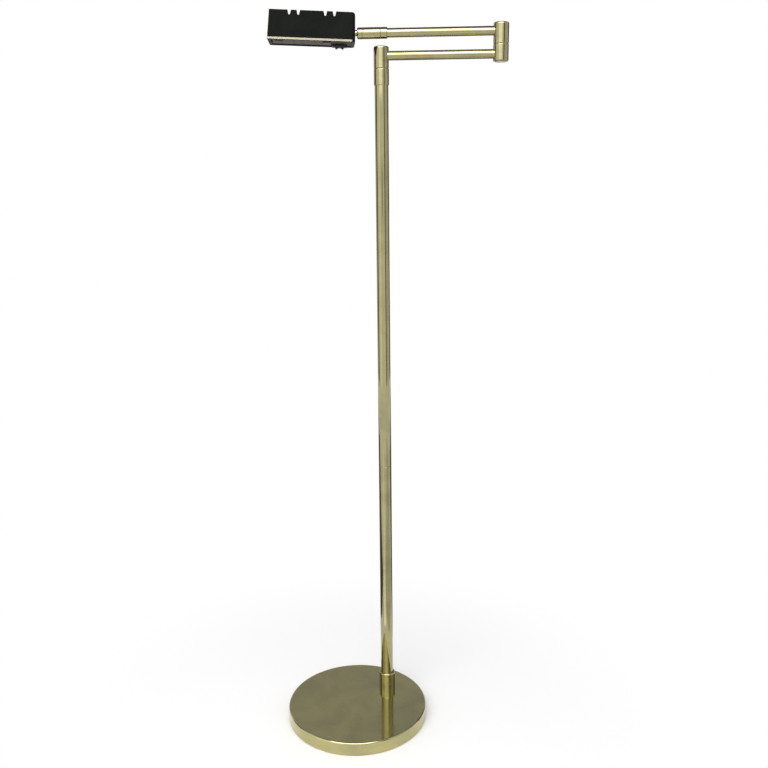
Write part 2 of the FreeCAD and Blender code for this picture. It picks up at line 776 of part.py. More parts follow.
def make_shade():
    """Folded sheet: a hipped tent, open below, with V vents cut down through the ridge."""
    shade = new_body("shade_shell", ON_HEAD)
    ridge_level = f"{RIM} + shade_high"
    tent = outline(shade, "tent", "YZ_Plane", [
        ("-shade_wide / 2", RIM),
        ("shade_wide / 2", RIM),
        ("ridge_wide / 2", ridge_level),
        ("-ridge_wide / 2", ridge_level),
    ], offset="shade_start")
    pad(shade, tent, "shade_long")
    through(shade, outline(shade, "lean", "XZ_Plane", [
        (FAR_END, RIM),
        (f"{FAR_END} - end_lean", ridge_level),
        (f"{FAR_END} + 1", ridge_level),
        (f"{FAR_END} + 1", RIM),
    ]))

    near_limit = size("shade_start") + 1
    ridge_height = size(ridge_level) - 0.1
    rounded(shade, "shade_round", lambda edge: (
        edge.BoundBox.ZMin > ridge_height and edge.BoundBox.XLength > 50
    ))
    rounded(shade, "neck_end_round", lambda edge: (
        edge.BoundBox.XMax < near_limit and edge.BoundBox.ZMax > size(RIM) + 1
    ))
    slope = "((shade_wide - ridge_wide) / 2 / shade_high)"
    side_wall = f"shade_wall * sqrt(1 + {slope}^2)"
    low_half = f"(shade_wide / 2 - {side_wall})"
    top_half = f"(ridge_wide / 2 + shade_wall * {slope} - {side_wall})"
    near_wall = "shade_start + shade_wall"
    far_wall = f"{FAR_END} - shade_wall"
    low = rectangle(near_wall, far_wall, f"-{low_half}", low_half)
    top = rectangle(near_wall, f"{far_wall} - end_lean", f"-{top_half}", top_half)
    mouth = outline(shade, "mouth", "XY_Plane", low, offset=RIM)
    roof = outline(shade, "roof", "XY_Plane", top, offset=f"{ridge_level} - shade_wall")
    feature(shade, "SubtractiveLoft", mouth, Sections=[roof], Ruled=True)

    hem = outline(
        shade, "hem", "XY_Plane",
        rectangle(
            "shade_start + 0.7", f"{FAR_END} - 0.4", "1 - shade_wide / 2", "shade_wide / 2 - 1"
        ),
        rectangle(
            "shade_start + shade_wall + hem_wide", f"{FAR_END} - shade_wall - hem_wide",
            "shade_wall + hem_wide - shade_wide / 2", "shade_wide / 2 - shade_wall - hem_wide"
        ),
        offset=RIM,
    )
    pad(shade, hem, "shade_wall")

    widening = "(vent_top_wide - vent_low_wide) / vent_deep"
    vents = []
    for away in ("-vent_outer", "-vent_inner", "vent_inner", "vent_outer"):
        centre = f"{SHADE_MIDDLE} + ({away})"
        half_top = f"(vent_top_wide + {widening}) / 2"
        vents.append([
            (f"{centre} - {half_top}", f"{ridge_level} + 1"),
            (f"{centre} - vent_low_wide / 2", f"{ridge_level} - vent_deep"),
            (f"{centre} + vent_low_wide / 2", f"{ridge_level} - vent_deep"),
            (f"{centre} + {half_top}", f"{ridge_level} + 1"),
        ])
    through(shade, outline(shade, "vents", "XZ_Plane", *vents))
    vent_foot = size(f"{ridge_level} - vent_deep")
    rounded(shade, "vent_round", lambda edge: (
        abs(edge.BoundBox.ZMin - vent_foot) < 0.01 and edge.BoundBox.XLength < 0.01
    ))
    neck_hole = circles(shade, "neck_hole", "YZ_Plane", ("0", "0", "stud_thread_dia + 0.2"))
    pocket(shade, neck_hole, "shade_start + 4", Reversed=True)


def make_trims():
    """Brass strips that follow the slope of the two long sides, just above the rim."""
    slope = "(shade_wide - ridge_wide) / 2 / shade_high"
    for label, side in (("front_trim", "1"), ("rear_trim", "-1")):
        trim = new_body(label, ON_HEAD)
        edge = f"{side} * shade_wide / 2"
        lean = f"{side} * {slope} * trim_high"
        out = f"{side} * trim_thick * sqrt(1 + ({slope})^2)"
        section = outline(trim, "section", "YZ_Plane", [
            (edge, RIM),
            (f"{edge} + {out}", RIM),
            (f"{edge} - {lean} + {out}", f"{RIM} + trim_high"),
            (f"{edge} - {lean}", f"{RIM} + trim_high"),
        ], offset="shade_start + neck_end_round")
        pad(trim, section, "shade_long - neck_end_round")


def make_reflector():
    reflector = new_body("reflector", ON_HEAD)
    section = outline(reflector, "section", "YZ_Plane", [
        ("-reflector_wide / 2", HEM_TOP),
        ("reflector_wide / 2", HEM_TOP),
        ("reflector_top / 2", f"{RIM} + reflector_high"),
        ("-reflector_top / 2", f"{RIM} + reflector_high"),
    ], offset=from_far("reflector_far + reflector_long"))
    pad(reflector, section, "reflector_long")
    bend_height = size(f"{RIM} + reflector_high") - 0.1
    rounded(reflector, "reflector_bend", lambda edge: (
        edge.BoundBox.ZMin > bend_height and edge.BoundBox.XLength > 50
    ))
    below = size(HEM_TOP) + 0.01
    open_faces = face_names(reflector, lambda face: (
        face.BoundBox.ZMax < below or face.BoundBox.XLength < 0.01
    ))
    feature(
        reflector, "Thickness", None,
        Base=(reflector.Tip, open_faces), Value="reflector_wall", Reversed=True, Join=0,
    )


def make_lamp():
    """Two facing sockets on brackets, and the double-ended bulb between them."""
    foot_top = f"{RIM} + reflector_high - reflector_wall"
    for name, distance, outward in (("far", "holder_far", 1), ("near", "holder_near", -1)):
        where = in_head(from_far(distance), "0", "0")
        block = new_body(f"lampholder_{name}", where)
        base = rectangle(
            "-holder_long / 2", "holder_long / 2", "-holder_wide / 2", "holder_wide / 2"
        )
        section = outline(block, "block", "XY_Plane", base, offset=f"{RIM} + holder_low")
        pad(block, section, "holder_high")
        rounded(block, "holder_round", lambda edge: edge.BoundBox.ZLength > 10)
        mouth = circles(
            block, "socket", "YZ_Plane", ("0", f"{RIM} + bulb_height", "socket_dia"),
            offset=f"{-outward} * holder_long / 2",
        )
        pocket(block, mouth, "socket_deep", Reversed=outward > 0)

        face = f"{outward} * holder_long / 2"
        leg = f"{outward} * bracket_thick"
        bracket = new_body(f"holder_bracket_{name}", where)
        angle = outline(bracket, "angle", "XZ_Plane", [
            (face, f"{RIM} + 3"),
            (f"{face} + {leg}", f"{RIM} + 3"),
            (f"{face} + {leg}", foot_top),
            (f"{face} + {leg} - {outward} * bracket_foot", foot_top),
            (f"{face} + {leg} - {outward} * bracket_foot", f"{foot_top} - bracket_thick"),
            (face, f"{foot_top} - bracket_thick"),
        ])
        pad(bracket, angle, "bracket_wide", Midplane=True)
        screw_level = f"{RIM} + bulb_height"
        hole = circles(bracket, "screw_hole", "YZ_Plane", ("0", screw_level, "screw_dia"))
        through(bracket, hole)

        tip = f"{face} - {outward} * screw_deep"
        outside = f"{face} + {leg}"
        head_top = f"{outside} + {outward} * screw_head_high"
        turned(f"holder_screw_{name}", in_head(from_far(distance), "0", screw_level), [
            ("0", tip),
            ("screw_dia / 2", tip),
            ("screw_dia / 2", outside),
            ("screw_head / 2", outside),
            ("screw_head / 2 - 0.5", head_top),
            ("0", head_top),
        ], along="X")
        seat = circles(block, "screw_seat", "YZ_Plane", ("0", screw_level, "screw_dia"), offset=face)
        pocket(block, seat, "screw_deep", Reversed=outward < 0)

    between = in_head(from_far("(holder_far + holder_near) / 2"), "0", f"{RIM} + bulb_height")
    bulb = turned("halogen_bulb", between, [
        ("0", "-bulb_long / 2"),
        ("bulb_tip_dia / 2", "-bulb_long / 2"),
        ("bulb_tip_dia / 2", "-bulb_glass / 2"),
        ("bulb_dia / 2", "-bulb_glass / 2"),
        ("bulb_dia / 2", "bulb_glass / 2"),
        ("bulb_tip_dia / 2", "bulb_glass / 2"),
        ("bulb_tip_dia / 2", "bulb_long / 2"),
        ("0", "bulb_long / 2"),
    ], along="X")
    rounded(
        bulb, "bulb_round * 0.6",
        circle_at("bulb_dia / 2", "-bulb_glass / 2", "X"),
        circle_at("bulb_dia / 2", "bulb_glass / 2", "X"),
    )


def make_switch():
    """A plate that closes the neck end of the underside, and its three-position rocker."""
    plate = new_body("switch_plate", ON_HEAD)
    start = "shade_start + shade_wall + 0.4"
    sheet = rectangle(start, f"{start} + plate_long", "-plate_side", "plate_side")
    pad(plate, outline(plate, "sheet", "XY_Plane", sheet, offset=HEM_TOP), "plate_thick")
    centre = from_far("switch_from_far")
    window = rectangle(
        f"{centre} - housing_long / 2 - 0.1", f"{centre} + housing_long / 2 + 0.1",
        "-switch_side - housing_wide / 2 - 0.1", "-switch_side + housing_wide / 2 + 0.1",
    )
    through(plate, outline(plate, "window", "XY_Plane", window))

    where = in_head(centre, "-switch_side", HEM_TOP)
    housing = new_body("switch_housing", where)
    bezel = rectangle("-bezel_long / 2", "bezel_long / 2", "-bezel_wide / 2", "bezel_wide / 2")
    pad(housing, outline(housing, "bezel", "XY_Plane", bezel, offset="-bezel_drop"), "bezel_drop")
    bezel_low = size("-bezel_drop") + 0.01
    bevelled(housing, "bezel_bevel", lambda edge: edge.BoundBox.ZMax < bezel_low)
    box = rectangle("-housing_long / 2", "housing_long / 2", "-housing_wide / 2", "housing_wide / 2")
    pad(housing, outline(housing, "box", "XY_Plane", box), "housing_high")
    well = rectangle("-well_long / 2", "well_long / 2", "-well_wide / 2", "well_wide / 2")
    well_sketch = outline(housing, "well", "XY_Plane", well, offset="housing_high - housing_roof")
    pocket(housing, well_sketch, "housing_high + bezel_drop")
    pivot_level = "pivot_rise - bezel_drop"
    pin_hole = circles(housing, "pin_hole", "XZ_Plane", ("0", pivot_level, "rocker_pin_dia"))
    pocket(housing, pin_hole, "bezel_wide - 2 * pin_inset", Midplane=True)
    pin = new_body("rocker_pin", where)
    pin_round = circles(pin, "round", "XZ_Plane", ("0", pivot_level, "rocker_pin_dia"))
    pad(pin, pin_round, "bezel_wide - 2 * pin_inset", Midplane=True)

    rocker = new_body("switch_rocker", where)
    end = "rocker_long / 2"
    top = "rocker_inside - bezel_drop"
    crest = "-bezel_drop - rocker_ends"
    half = [
        (end, top),
        (end, f"{crest} + rocker_crest"),
        (f"{end} - rocker_crest", crest),
        (f"{end} - rocker_crest_end", f"{crest} + 0.2"),
        (f"{end} - rocker_dip", "-bezel_drop - rocker_middle"),
    ]
    other_half = [(f"-({x})", z) for x, z in reversed(half)]
    side = outline(rocker, "side", "XZ_Plane", half + other_half)
    pad(rocker, side, "well_wide - 2 * rocker_gap", Midplane=True)
    bore_dia = "rocker_pin_dia + 2 * running_gap"
    through(rocker, circles(rocker, "bore", "XZ_Plane", ("0", pivot_level, bore_dia)))


def write_parts():
    """Write every sound sub-part to a file named by its label."""
    doc.recompute()
    for item in doc.Objects:
        if "Invalid" in item.State or "Error" in item.State:
            raise RuntimeError(f"{item.Name} failed: {item.State}")
    os.makedirs("parts", exist_ok=True)
    for part in parts:
        shape = part.Shape
        if shape.isNull() or not shape.isValid():
            raise RuntimeError(f"{part.Label} has no sound solid")
        shape.exportStep(f"parts/{part.Label}.step")
        print(f"{part.Label}: {len(shape.Solids)} solid, {shape.Volume:.1f} mm3")


make_base()
make_foot()
make_pole()
make_pole_head()
make_elbow()
make_arms()
make_swivel()
make_stud()
make_shade()
make_trims()
make_reflector()
make_lamp()
make_switch()
write_parts()
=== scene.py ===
import json
import math

import bmesh
import bpy
from mathutils import Matrix, Vector


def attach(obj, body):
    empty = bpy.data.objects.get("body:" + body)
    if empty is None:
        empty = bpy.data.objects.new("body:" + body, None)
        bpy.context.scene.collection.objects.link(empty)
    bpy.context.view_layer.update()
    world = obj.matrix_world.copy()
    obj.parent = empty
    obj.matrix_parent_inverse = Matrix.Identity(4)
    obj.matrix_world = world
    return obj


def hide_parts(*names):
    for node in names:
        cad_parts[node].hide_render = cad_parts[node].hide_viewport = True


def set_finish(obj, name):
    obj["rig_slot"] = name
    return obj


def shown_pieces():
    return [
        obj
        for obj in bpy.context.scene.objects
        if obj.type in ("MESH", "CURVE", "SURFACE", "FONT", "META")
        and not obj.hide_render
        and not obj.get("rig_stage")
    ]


# Looks of the swing arm floor lamp, in the frame of its CAD model.
# The lamp's sizes are millimetres and angles are degrees; a piece's mesh is scaled
# to metres when it is finished. The studio round the lamp is laid out in metres.

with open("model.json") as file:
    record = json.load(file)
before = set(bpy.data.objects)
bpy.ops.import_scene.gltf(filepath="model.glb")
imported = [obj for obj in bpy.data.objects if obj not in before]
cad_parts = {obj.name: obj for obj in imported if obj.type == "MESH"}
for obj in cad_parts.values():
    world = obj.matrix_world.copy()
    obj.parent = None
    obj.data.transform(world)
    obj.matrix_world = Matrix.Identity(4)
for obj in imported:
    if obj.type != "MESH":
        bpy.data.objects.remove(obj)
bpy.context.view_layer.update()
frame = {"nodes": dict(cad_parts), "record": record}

MM = 0.001

# Faces blend up to this angle, and points this near each other are joined.
SMOOTH_UP_TO = 35
JOIN_REACH = 1e-3

# The head's tilt, and its ball's place along the upper arm from the elbow's axis.
HEAD_PAN = 7.65
HEAD_LIFT = 2.1
BALL_FROM_ELBOW = 221.3

# The spun base and the drawn tubes.
BASE_ROUND = 2.8
BASE_WALL = 1.2
POLE_RADIUS = 11.1
POLE_WALL = 1.2
ARM_WALL = 1.0

# Roundings of the turned brass.
FINE_EDGE = 0.2
CRISP_EDGE = 0.3
SOFT_EDGE = 0.35
SEAM_EDGE = 0.9
KNUCKLE_ROUND = 2.8

# The folded sheet of the shade.
SHEET = 1.0
HEM = 4.0
RIDGE_HALF = 4.0
FAR_END_LEAN = 1.2
FOLD_ROUND = 2.4
NECK_END_ROUND = 5.0

# The vents across its ridge, placed from the middle of it.
VENT_DEPTH = 8.0
VENT_TOP = 5.5
VENT_FOOT = 2.3
VENT_PLACES = (-35.4, -21.1, 21.1, 35.4)

# A vertex this near a limit counts as on it, and an edge this long runs along the shade.
AT_LIMIT = 1.0
LONG_EDGE = 50

# The locking screw, turned from straight down towards the front of the arm.
GRUB_SCREW_BEARING = 112.0

# The photograph's camera.
CAMERA_PLACE = (0.15778, -1.42935, 0.96319)
CAMERA_PAN = 4.161
CAMERA_TILT = 76.445
CAMERA_ROLL = -0.555
CAMERA_LENS = 41.65
CAMERA_SENSOR = 36

# The studio.
STUDIO_CENTRE = Vector((0.05, 0.03, 0.75))
CARD_DISTANCE = 2.4
CARD_LIFT = 0.003
FLOOR_RADIUS = 6
FADE_START = 0.2
FADE_END = 0.6


# Places

def shifted(x=0, y=0, z=0):
    return Matrix.Translation((x, y, z))


def turn(angle, axis):
    return Matrix.Rotation(math.radians(angle), 4, axis)


def extent(node, place=Matrix()):
    """Lowest and highest corner of a CAD node in a local frame, in millimetres."""
    to_local = place.inverted()
    corners = [to_local @ (vertex.co / MM) for vertex in frame["nodes"][node].data.vertices]
    low = Vector([min(corner[axis] for corner in corners) for axis in range(3)])
    high = Vector([max(corner[axis] for corner in corners) for axis in range(3)])
    return low, high


def middle(node):
    low, high = extent(node)
    return (low + high) / 2


pole = middle("pole_lower_tube")
elbow = middle("elbow_stem")
lower_level = middle("lower_arm_tube").z
upper_level = middle("upper_arm_tube").z

AT_POLE = shifted(pole.x, pole.y)
AT_ELBOW = shifted(elbow.x, elbow.y)
ALONG_X = turn(90, "Y")
LOWER_ARM = shifted(pole.x, pole.y, lower_level) @ ALONG_X
UPPER_ARM = shifted(elbow.x, elbow.y, upper_level) @ turn(180, "Z") @ ALONG_X
HEAD = (
    shifted(elbow.x - BALL_FROM_ELBOW, elbow.y, upper_level)
    @ turn(180 + HEAD_PAN, "Z")
    @ turn(-HEAD_LIFT, "Y")
)


# Meshes

def finished(name, mesh, place, body, slot, material, *nodes):
    """Put a mesh in place, make it a piece on its body and hide the nodes it stands for."""
    mesh.transform(Matrix.Scale(MM, 4) @ place)
    data = bpy.data.meshes.new(name)
    mesh.to_mesh(data)
    mesh.free()
    data.polygons.foreach_set("use_smooth", [True] * len(data.polygons))
    data.set_sharp_from_angle(angle=math.radians(SMOOTH_UP_TO))
    data.materials.append(material)
    piece = bpy.data.objects.new(name, data)
    bpy.context.scene.collection.objects.link(piece)
    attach(piece, body)
    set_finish(piece, slot)
    if nodes:
        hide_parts(*nodes)
    return piece


def closed(mesh):
    """Join touching points and turn the faces outwards."""
    bmesh.ops.remove_doubles(mesh, verts=mesh.verts, dist=JOIN_REACH)
    bmesh.ops.recalc_face_normals(mesh, faces=mesh.faces)
    return mesh


def lathe(corners, steps=128):
    """A shape turned about Z; its corners are (radius, height) or (radius, height, rounding)."""
    mesh = bmesh.new()
    spots = [mesh.verts.new((corner[0], 0, corner[1])) for corner in corners]
    for start, end in zip(spots, spots[1:]):
        mesh.edges.new((start, end))
    if corners[0][0] or corners[-1][0]:
        mesh.edges.new((spots[-1], spots[0]))
    for spot, corner in zip(spots, corners):
        if len(corner) > 2:
            bmesh.ops.bevel(
                mesh, geom=[spot], offset=corner[2], offset_type="OFFSET",
                affect="VERTICES", segments=4, profile=0.5, material=-1,
            )
    bmesh.ops.spin(
        mesh, geom=mesh.verts[:] + mesh.edges[:], axis=(0, 0, 1), cent=(0, 0, 0),
        angle=2 * math.pi, steps=steps, use_merge=True,
    )
    return closed(mesh)


def block(low, high, rounding=0, segments=3):
    """A box between two corners, with all its edges rounded if a rounding is given."""
    mesh = bmesh.new()
    bmesh.ops.create_cube(mesh, size=1)
    size = [top - bottom for bottom, top in zip(low, high)]
    centre = [(top + bottom) / 2 for bottom, top in zip(low, high)]
    bmesh.ops.scale(mesh, vec=size, verts=mesh.verts)
    bmesh.ops.translate(mesh, vec=centre, verts=mesh.verts)
    if rounding:
        soften(mesh, mesh.edges[:], rounding, segments)
    return mesh


def soften(mesh, edges, rounding, segments=3):
    bmesh.ops.bevel(
        mesh, geom=edges, offset=rounding, offset_type="OFFSET",
        affect="EDGES", segments=segments, profile=0.5, material=-1,
    )


def points_of(geometry):
    """The vertices in an operator's mixed result."""
    return [item for item in geometry if isinstance(item, bmesh.types.BMVert)]


def extruded(corners, length):
    """A flat outline of (x, y, z) corners drawn out by a vector."""
    mesh = bmesh.new()
    outline = mesh.faces.new([mesh.verts.new(corner) for corner in corners])
    drawn = bmesh.ops.extrude_face_region(mesh, geom=[outline], use_keep_orig=True)
    bmesh.ops.translate(mesh, vec=length, verts=points_of(drawn["geom"]))
    bmesh.ops.recalc_face_normals(mesh, faces=mesh.faces)
    return mesh


def merged(*meshes):
    """Several meshes as one; each keeps its own closed surface."""
    whole = bmesh.new()
    for mesh in meshes:
        carrier = bpy.data.meshes.new("carrier")
        mesh.to_mesh(carrier)
        mesh.free()
        whole.from_mesh(carrier)
        bpy.data.meshes.remove(carrier)
    return whole


def even_normals():
    """Let the large faces lead the shading, so that flats stay flat beside a rounding."""
    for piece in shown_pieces():
        if "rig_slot" in piece:
            weights = piece.modifiers.new("normals", "WEIGHTED_NORMAL")
            weights.keep_sharp = True


# Shader nodes

def add(tree, kind, values=None, **settings):
    """A shader node; a value may be a number, a colour or another node's output."""
    node = tree.nodes.new("ShaderNode" + kind)
    for name, setting in settings.items():
        setattr(node, name, setting)
    for name, value in (values or {}).items():
        if isinstance(value, bpy.types.NodeSocket):
            tree.links.new(value, node.inputs[name])
        else:
            node.inputs[name].default_value = value
    return node


def new_group(name, inputs, outputs):
    tree = bpy.data.node_groups.new(name, "ShaderNodeTree")
    for socket, start in inputs.items():
        kind = "NodeSocketVector" if isinstance(start, tuple) else "NodeSocketFloat"
        made = tree.interface.new_socket(socket, in_out="INPUT", socket_type=kind)
        made.default_value = start
    for socket in outputs:
        tree.interface.new_socket(socket, in_out="OUTPUT", socket_type="NodeSocketFloat")
    return tree, tree.nodes.new("NodeGroupInput"), tree.nodes.new("NodeGroupOutput")


def placed(tree, group, values):
    """The group in a material, with its inputs set."""
    node = tree.nodes.new("ShaderNodeGroup")
    node.node_tree = group
    for name, value in values.items():
        node.inputs[name].default_value = value
    return node


def stain_group():
    """Cloudy patches and fine specks on the object's own coordinates."""
    tree, given, result = new_group(
        "stain", {"Scale": 20.0, "Cover": 0.5, "Speck Scale": 900.0}, ("Cloud", "Specks")
    )
    spot = add(tree, "TexCoord").outputs["Object"]
    cloud = add(tree, "TexNoise", {
        "Vector": spot, "Scale": given.outputs["Scale"], "Detail": 5.0, "Roughness": 0.62,
        "Distortion": 0.6,
    })
    spread = add(tree, "MapRange", {
        "Value": cloud.outputs["Fac"], "From Min": 0.38, "From Max": 0.7,
        "To Max": given.outputs["Cover"],
    })
    speck = add(tree, "TexNoise", {
        "Vector": spot, "Scale": given.outputs["Speck Scale"], "Detail": 2.0,
    })
    dots = add(tree, "MapRange", {
        "Value": speck.outputs["Fac"], "From Min": 0.62, "From Max": 0.78,
    })
    tree.links.new(spread.outputs["Result"], result.inputs["Cloud"])
    tree.links.new(dots.outputs["Result"], result.inputs["Specks"])
    return tree


def drawn_lines_group():
    """Fine drawn or brushed lines; a small number in Stretch runs the lines that way."""
    tree, given, result = new_group(
        "drawn_lines", {"Stretch": (900.0, 900.0, 6.0)}, ("Height",)
    )
    spot = add(tree, "TexCoord").outputs["Object"]
    scaled = add(tree, "VectorMath", {0: spot, 1: given.outputs["Stretch"]}, operation="MULTIPLY")
    lines = add(tree, "TexNoise", {
        "Vector": scaled.outputs["Vector"], "Scale": 1.0, "Detail": 3.0, "Roughness": 0.6,
    })
    tree.links.new(lines.outputs["Fac"], result.inputs["Height"])
    return tree


def dust_group():
    """Fine dust that has settled on what faces up."""
    tree, given, result = new_group("dust", {"Amount": 0.2}, ("Mask",))
    facing = add(tree, "SeparateXYZ", {"Vector": add(tree, "NewGeometry").outputs["Normal"]})
    upward = add(tree, "MapRange", {"Value": facing.outputs["Z"], "From Min": 0.35, "From Max": 1.0})
    grains = add(tree, "TexNoise", {
        "Vector": add(tree, "TexCoord").outputs["Object"], "Scale": 260.0, "Detail": 6.0,
        "Roughness": 0.75,
    })
    patchy = add(tree, "MapRange", {
        "Value": grains.outputs["Fac"], "From Min": 0.42, "From Max": 0.72,
    })
    settled = add(tree, "Math", {
        0: upward.outputs["Result"], 1: patchy.outputs["Result"],
    }, operation="MULTIPLY")
    mask = add(tree, "Math", {
        0: settled.outputs["Value"], 1: given.outputs["Amount"],
    }, operation="MULTIPLY")
    tree.links.new(mask.outputs["Value"], result.inputs["Mask"])
    return tree


def wear_group():
    """Rubbed edges, broken up so that the wear isn't even."""
    tree, given, result = new_group("edge_wear", {"Width": 0.0008, "Amount": 0.6}, ("Mask",))
    geometry = add(tree, "NewGeometry")
    rounded = add(tree, "Bevel", {"Radius": given.outputs["Width"]}, samples=6)
    turned_away = add(tree, "VectorMath", {
        0: geometry.outputs["Normal"], 1: rounded.outputs["Normal"],
    }, operation="DOT_PRODUCT")
    edge = add(tree, "MapRange", {
        "Value": turned_away.outputs["Value"], "From Min": 0.995, "From Max": 0.9,
    })
    breaks = add(tree, "TexNoise", {
        "Vector": add(tree, "TexCoord").outputs["Object"], "Scale": 160.0, "Detail": 4.0,
    })
    gaps = add(tree, "MapRange", {
        "Value": breaks.outputs["Fac"], "From Min": 0.4, "From Max": 0.62,
    })
    worn = add(tree, "Math", {
        0: edge.outputs["Result"], 1: gaps.outputs["Result"],
    }, operation="MULTIPLY")
    mask = add(tree, "Math", {
        0: worn.outputs["Value"], 1: given.outputs["Amount"],
    }, operation="MULTIPLY")
    tree.links.new(mask.outputs["Value"], result.inputs["Mask"])
    return tree


STAIN = stain_group()
LINES = drawn_lines_group()
DUST = dust_group()
WEAR = wear_group()


def new_material(name, values):
    """A material whose one shader has its even values set on its own sockets."""
    material = bpy.data.materials.new(name)
    material.use_nodes = True
    shader = material.node_tree.nodes["Principled BSDF"]
    for socket, value in values.items():
        shader.inputs[socket].default_value = value
    return material, material.node_tree, shader


def mixed(tree, mask, first, second):
    """Two colours blended by a mask; either may be another node's output."""
    node = add(tree, "Mix", data_type="RGBA")
    tree.links.new(mask, node.inputs["Factor"])
    for socket, colour in ((node.inputs[6], first), (node.inputs[7], second)):
        if isinstance(colour, bpy.types.NodeSocket):
            tree.links.new(colour, socket)
        else:
            socket.default_value = (*colour, 1)
    return node.outputs[2]


def ranged(tree, value, low, high):
    """A mask from 0 to 1 mapped to a range of values."""
    return add(tree, "MapRange", {"Value": value, "To Min": low, "To Max": high}).outputs["Result"]


def bumped(tree, shader, height, strength, distance, before=None):
    values = {"Height": height, "Strength": strength, "Distance": distance}
    if before:
        values["Normal"] = before
    bump = add(tree, "Bump", values)
    tree.links.new(bump.outputs["Normal"], shader.inputs["Normal"])
    return bump.outputs["Normal"]


def brass(name, clean, stained, cloud=20.0, cover=0.6, shine=0.06, dull=0.13,
          stretch=(700.0, 700.0, 8.0), dust=0.15):
    """Polished brass under thin lacquer, with cloudy tarnish, drawing lines and dust."""
    material, tree, shader = new_material(name, {
        "Metallic": 1.0, "Coat Weight": 0.35, "Coat Roughness": 0.09, "Coat IOR": 1.48,
    })
    stain = placed(tree, STAIN, {"Scale": cloud, "Cover": cover, "Speck Scale": 700.0})
    settled = placed(tree, DUST, {"Amount": dust})
    base = mixed(tree, stain.outputs["Cloud"], clean, stained)
    faint_specks = add(tree, "Math", {0: stain.outputs["Specks"], 1: 0.12}, operation="MULTIPLY")
    speck_colour = tuple(0.45 * part for part in stained)
    spotted = mixed(tree, faint_specks.outputs["Value"], base, speck_colour)
    dusted = mixed(tree, settled.outputs["Mask"], spotted, (0.5, 0.48, 0.42))
    tree.links.new(dusted, shader.inputs["Base Color"])
    rough = add(tree, "Math", {
        0: ranged(tree, stain.outputs["Cloud"], shine, dull),
        1: ranged(tree, settled.outputs["Mask"], 0.0, 0.5),
    }, operation="ADD")
    tree.links.new(rough.outputs["Value"], shader.inputs["Roughness"])
    lines = placed(tree, LINES, {"Stretch": stretch})
    drawn = bumped(tree, shader, lines.outputs["Height"], 0.06, 0.00003)
    ripple = add(tree, "TexNoise", {
        "Vector": add(tree, "TexCoord").outputs["Object"], "Scale": 34.0, "Detail": 1.0,
    })
    bumped(tree, shader, ripple.outputs["Fac"], 0.12, 0.0004, drawn)
    return material


def enamel(name, colour, faded, rough=0.4, dust=0.02, wear=0.25):
    """Sprayed satin enamel with a fine orange-peel skin, rubbed edges and dust."""
    material, tree, shader = new_material(name, {
        "Metallic": 0.0, "IOR": 1.5, "Specular IOR Level": 0.04,
    })
    stain = placed(tree, STAIN, {"Scale": 14.0, "Cover": 0.7, "Speck Scale": 500.0})
    settled = placed(tree, DUST, {"Amount": dust})
    rubbed = placed(tree, WEAR, {"Width": 0.0007, "Amount": wear})
    base = mixed(tree, stain.outputs["Cloud"], colour, faded)
    worn = mixed(tree, rubbed.outputs["Mask"], base, (0.16, 0.15, 0.12))
    dusted = mixed(tree, settled.outputs["Mask"], worn, (0.3, 0.29, 0.27))
    tree.links.new(dusted, shader.inputs["Base Color"])
    tree.links.new(ranged(tree, stain.outputs["Cloud"], rough, rough + 0.12), shader.inputs["Roughness"])
    peel = add(tree, "TexNoise", {
        "Vector": add(tree, "TexCoord").outputs["Object"], "Scale": 620.0, "Detail": 2.0,
    })
    bumped(tree, shader, peel.outputs["Fac"], 0.18, 0.0002)
    return material


def plastic(name, colour, rough=0.42, grain=1500.0, coat=0.0):
    """Moulded plastic with a fine spark-eroded grain and a few shiny rubs."""
    material, tree, shader = new_material(name, {
        "IOR": 1.49, "Coat Weight": coat, "Coat Roughness": 0.15,
    })
    stain = placed(tree, STAIN, {"Scale": 60.0, "Cover": 0.6, "Speck Scale": 1200.0})
    pale = tuple(min(1.0, part * 1.5 + 0.006) for part in colour)
    tree.links.new(mixed(tree, stain.outputs["Cloud"], colour, pale), shader.inputs["Base Color"])
    tree.links.new(ranged(tree, stain.outputs["Cloud"], rough, rough - 0.12), shader.inputs["Roughness"])
    pits = add(tree, "TexNoise", {
        "Vector": add(tree, "TexCoord").outputs["Object"], "Scale": grain, "Detail": 2.0,
    })
    bumped(tree, shader, pits.outputs["Fac"], 0.25, 0.00008)
    return material


def bare_metal(name, colour, spotted, rough, stretch, cloud=50.0):
    """Plated or rolled metal with its own grain and cloudy spots."""
    material, tree, shader = new_material(name, {"Metallic": 1.0})
    stain = placed(tree, STAIN, {"Scale": cloud, "Cover": 0.7, "Speck Scale": 1500.0})
    tree.links.new(mixed(tree, stain.outputs["Cloud"], colour, spotted), shader.inputs["Base Color"])
    tree.links.new(ranged(tree, stain.outputs["Cloud"], rough, rough + 0.18), shader.inputs["Roughness"])
    lines = placed(tree, LINES, {"Stretch": stretch})
    bumped(tree, shader, lines.outputs["Height"], 0.25, 0.00006)
    return material


def cast_iron():
    """Sand-cast iron: dark, pebbled and faintly rusty."""
    material, tree, shader = new_material("cast_iron", {"Metallic": 0.6})
    stain = placed(tree, STAIN, {"Scale": 45.0, "Cover": 0.5, "Speck Scale": 400.0})
    tree.links.new(
        mixed(tree, stain.outputs["Cloud"], (0.06, 0.06, 0.062), (0.12, 0.06, 0.035)),
        shader.inputs["Base Color"],
    )
    tree.links.new(ranged(tree, stain.outputs["Cloud"], 0.6, 0.85), shader.inputs["Roughness"])
    sand = add(tree, "TexNoise", {
        "Vector": add(tree, "TexCoord").outputs["Object"], "Scale": 520.0, "Detail": 5.0,
    })
    bumped(tree, shader, sand.outputs["Fac"], 0.8, 0.0006)
    return material


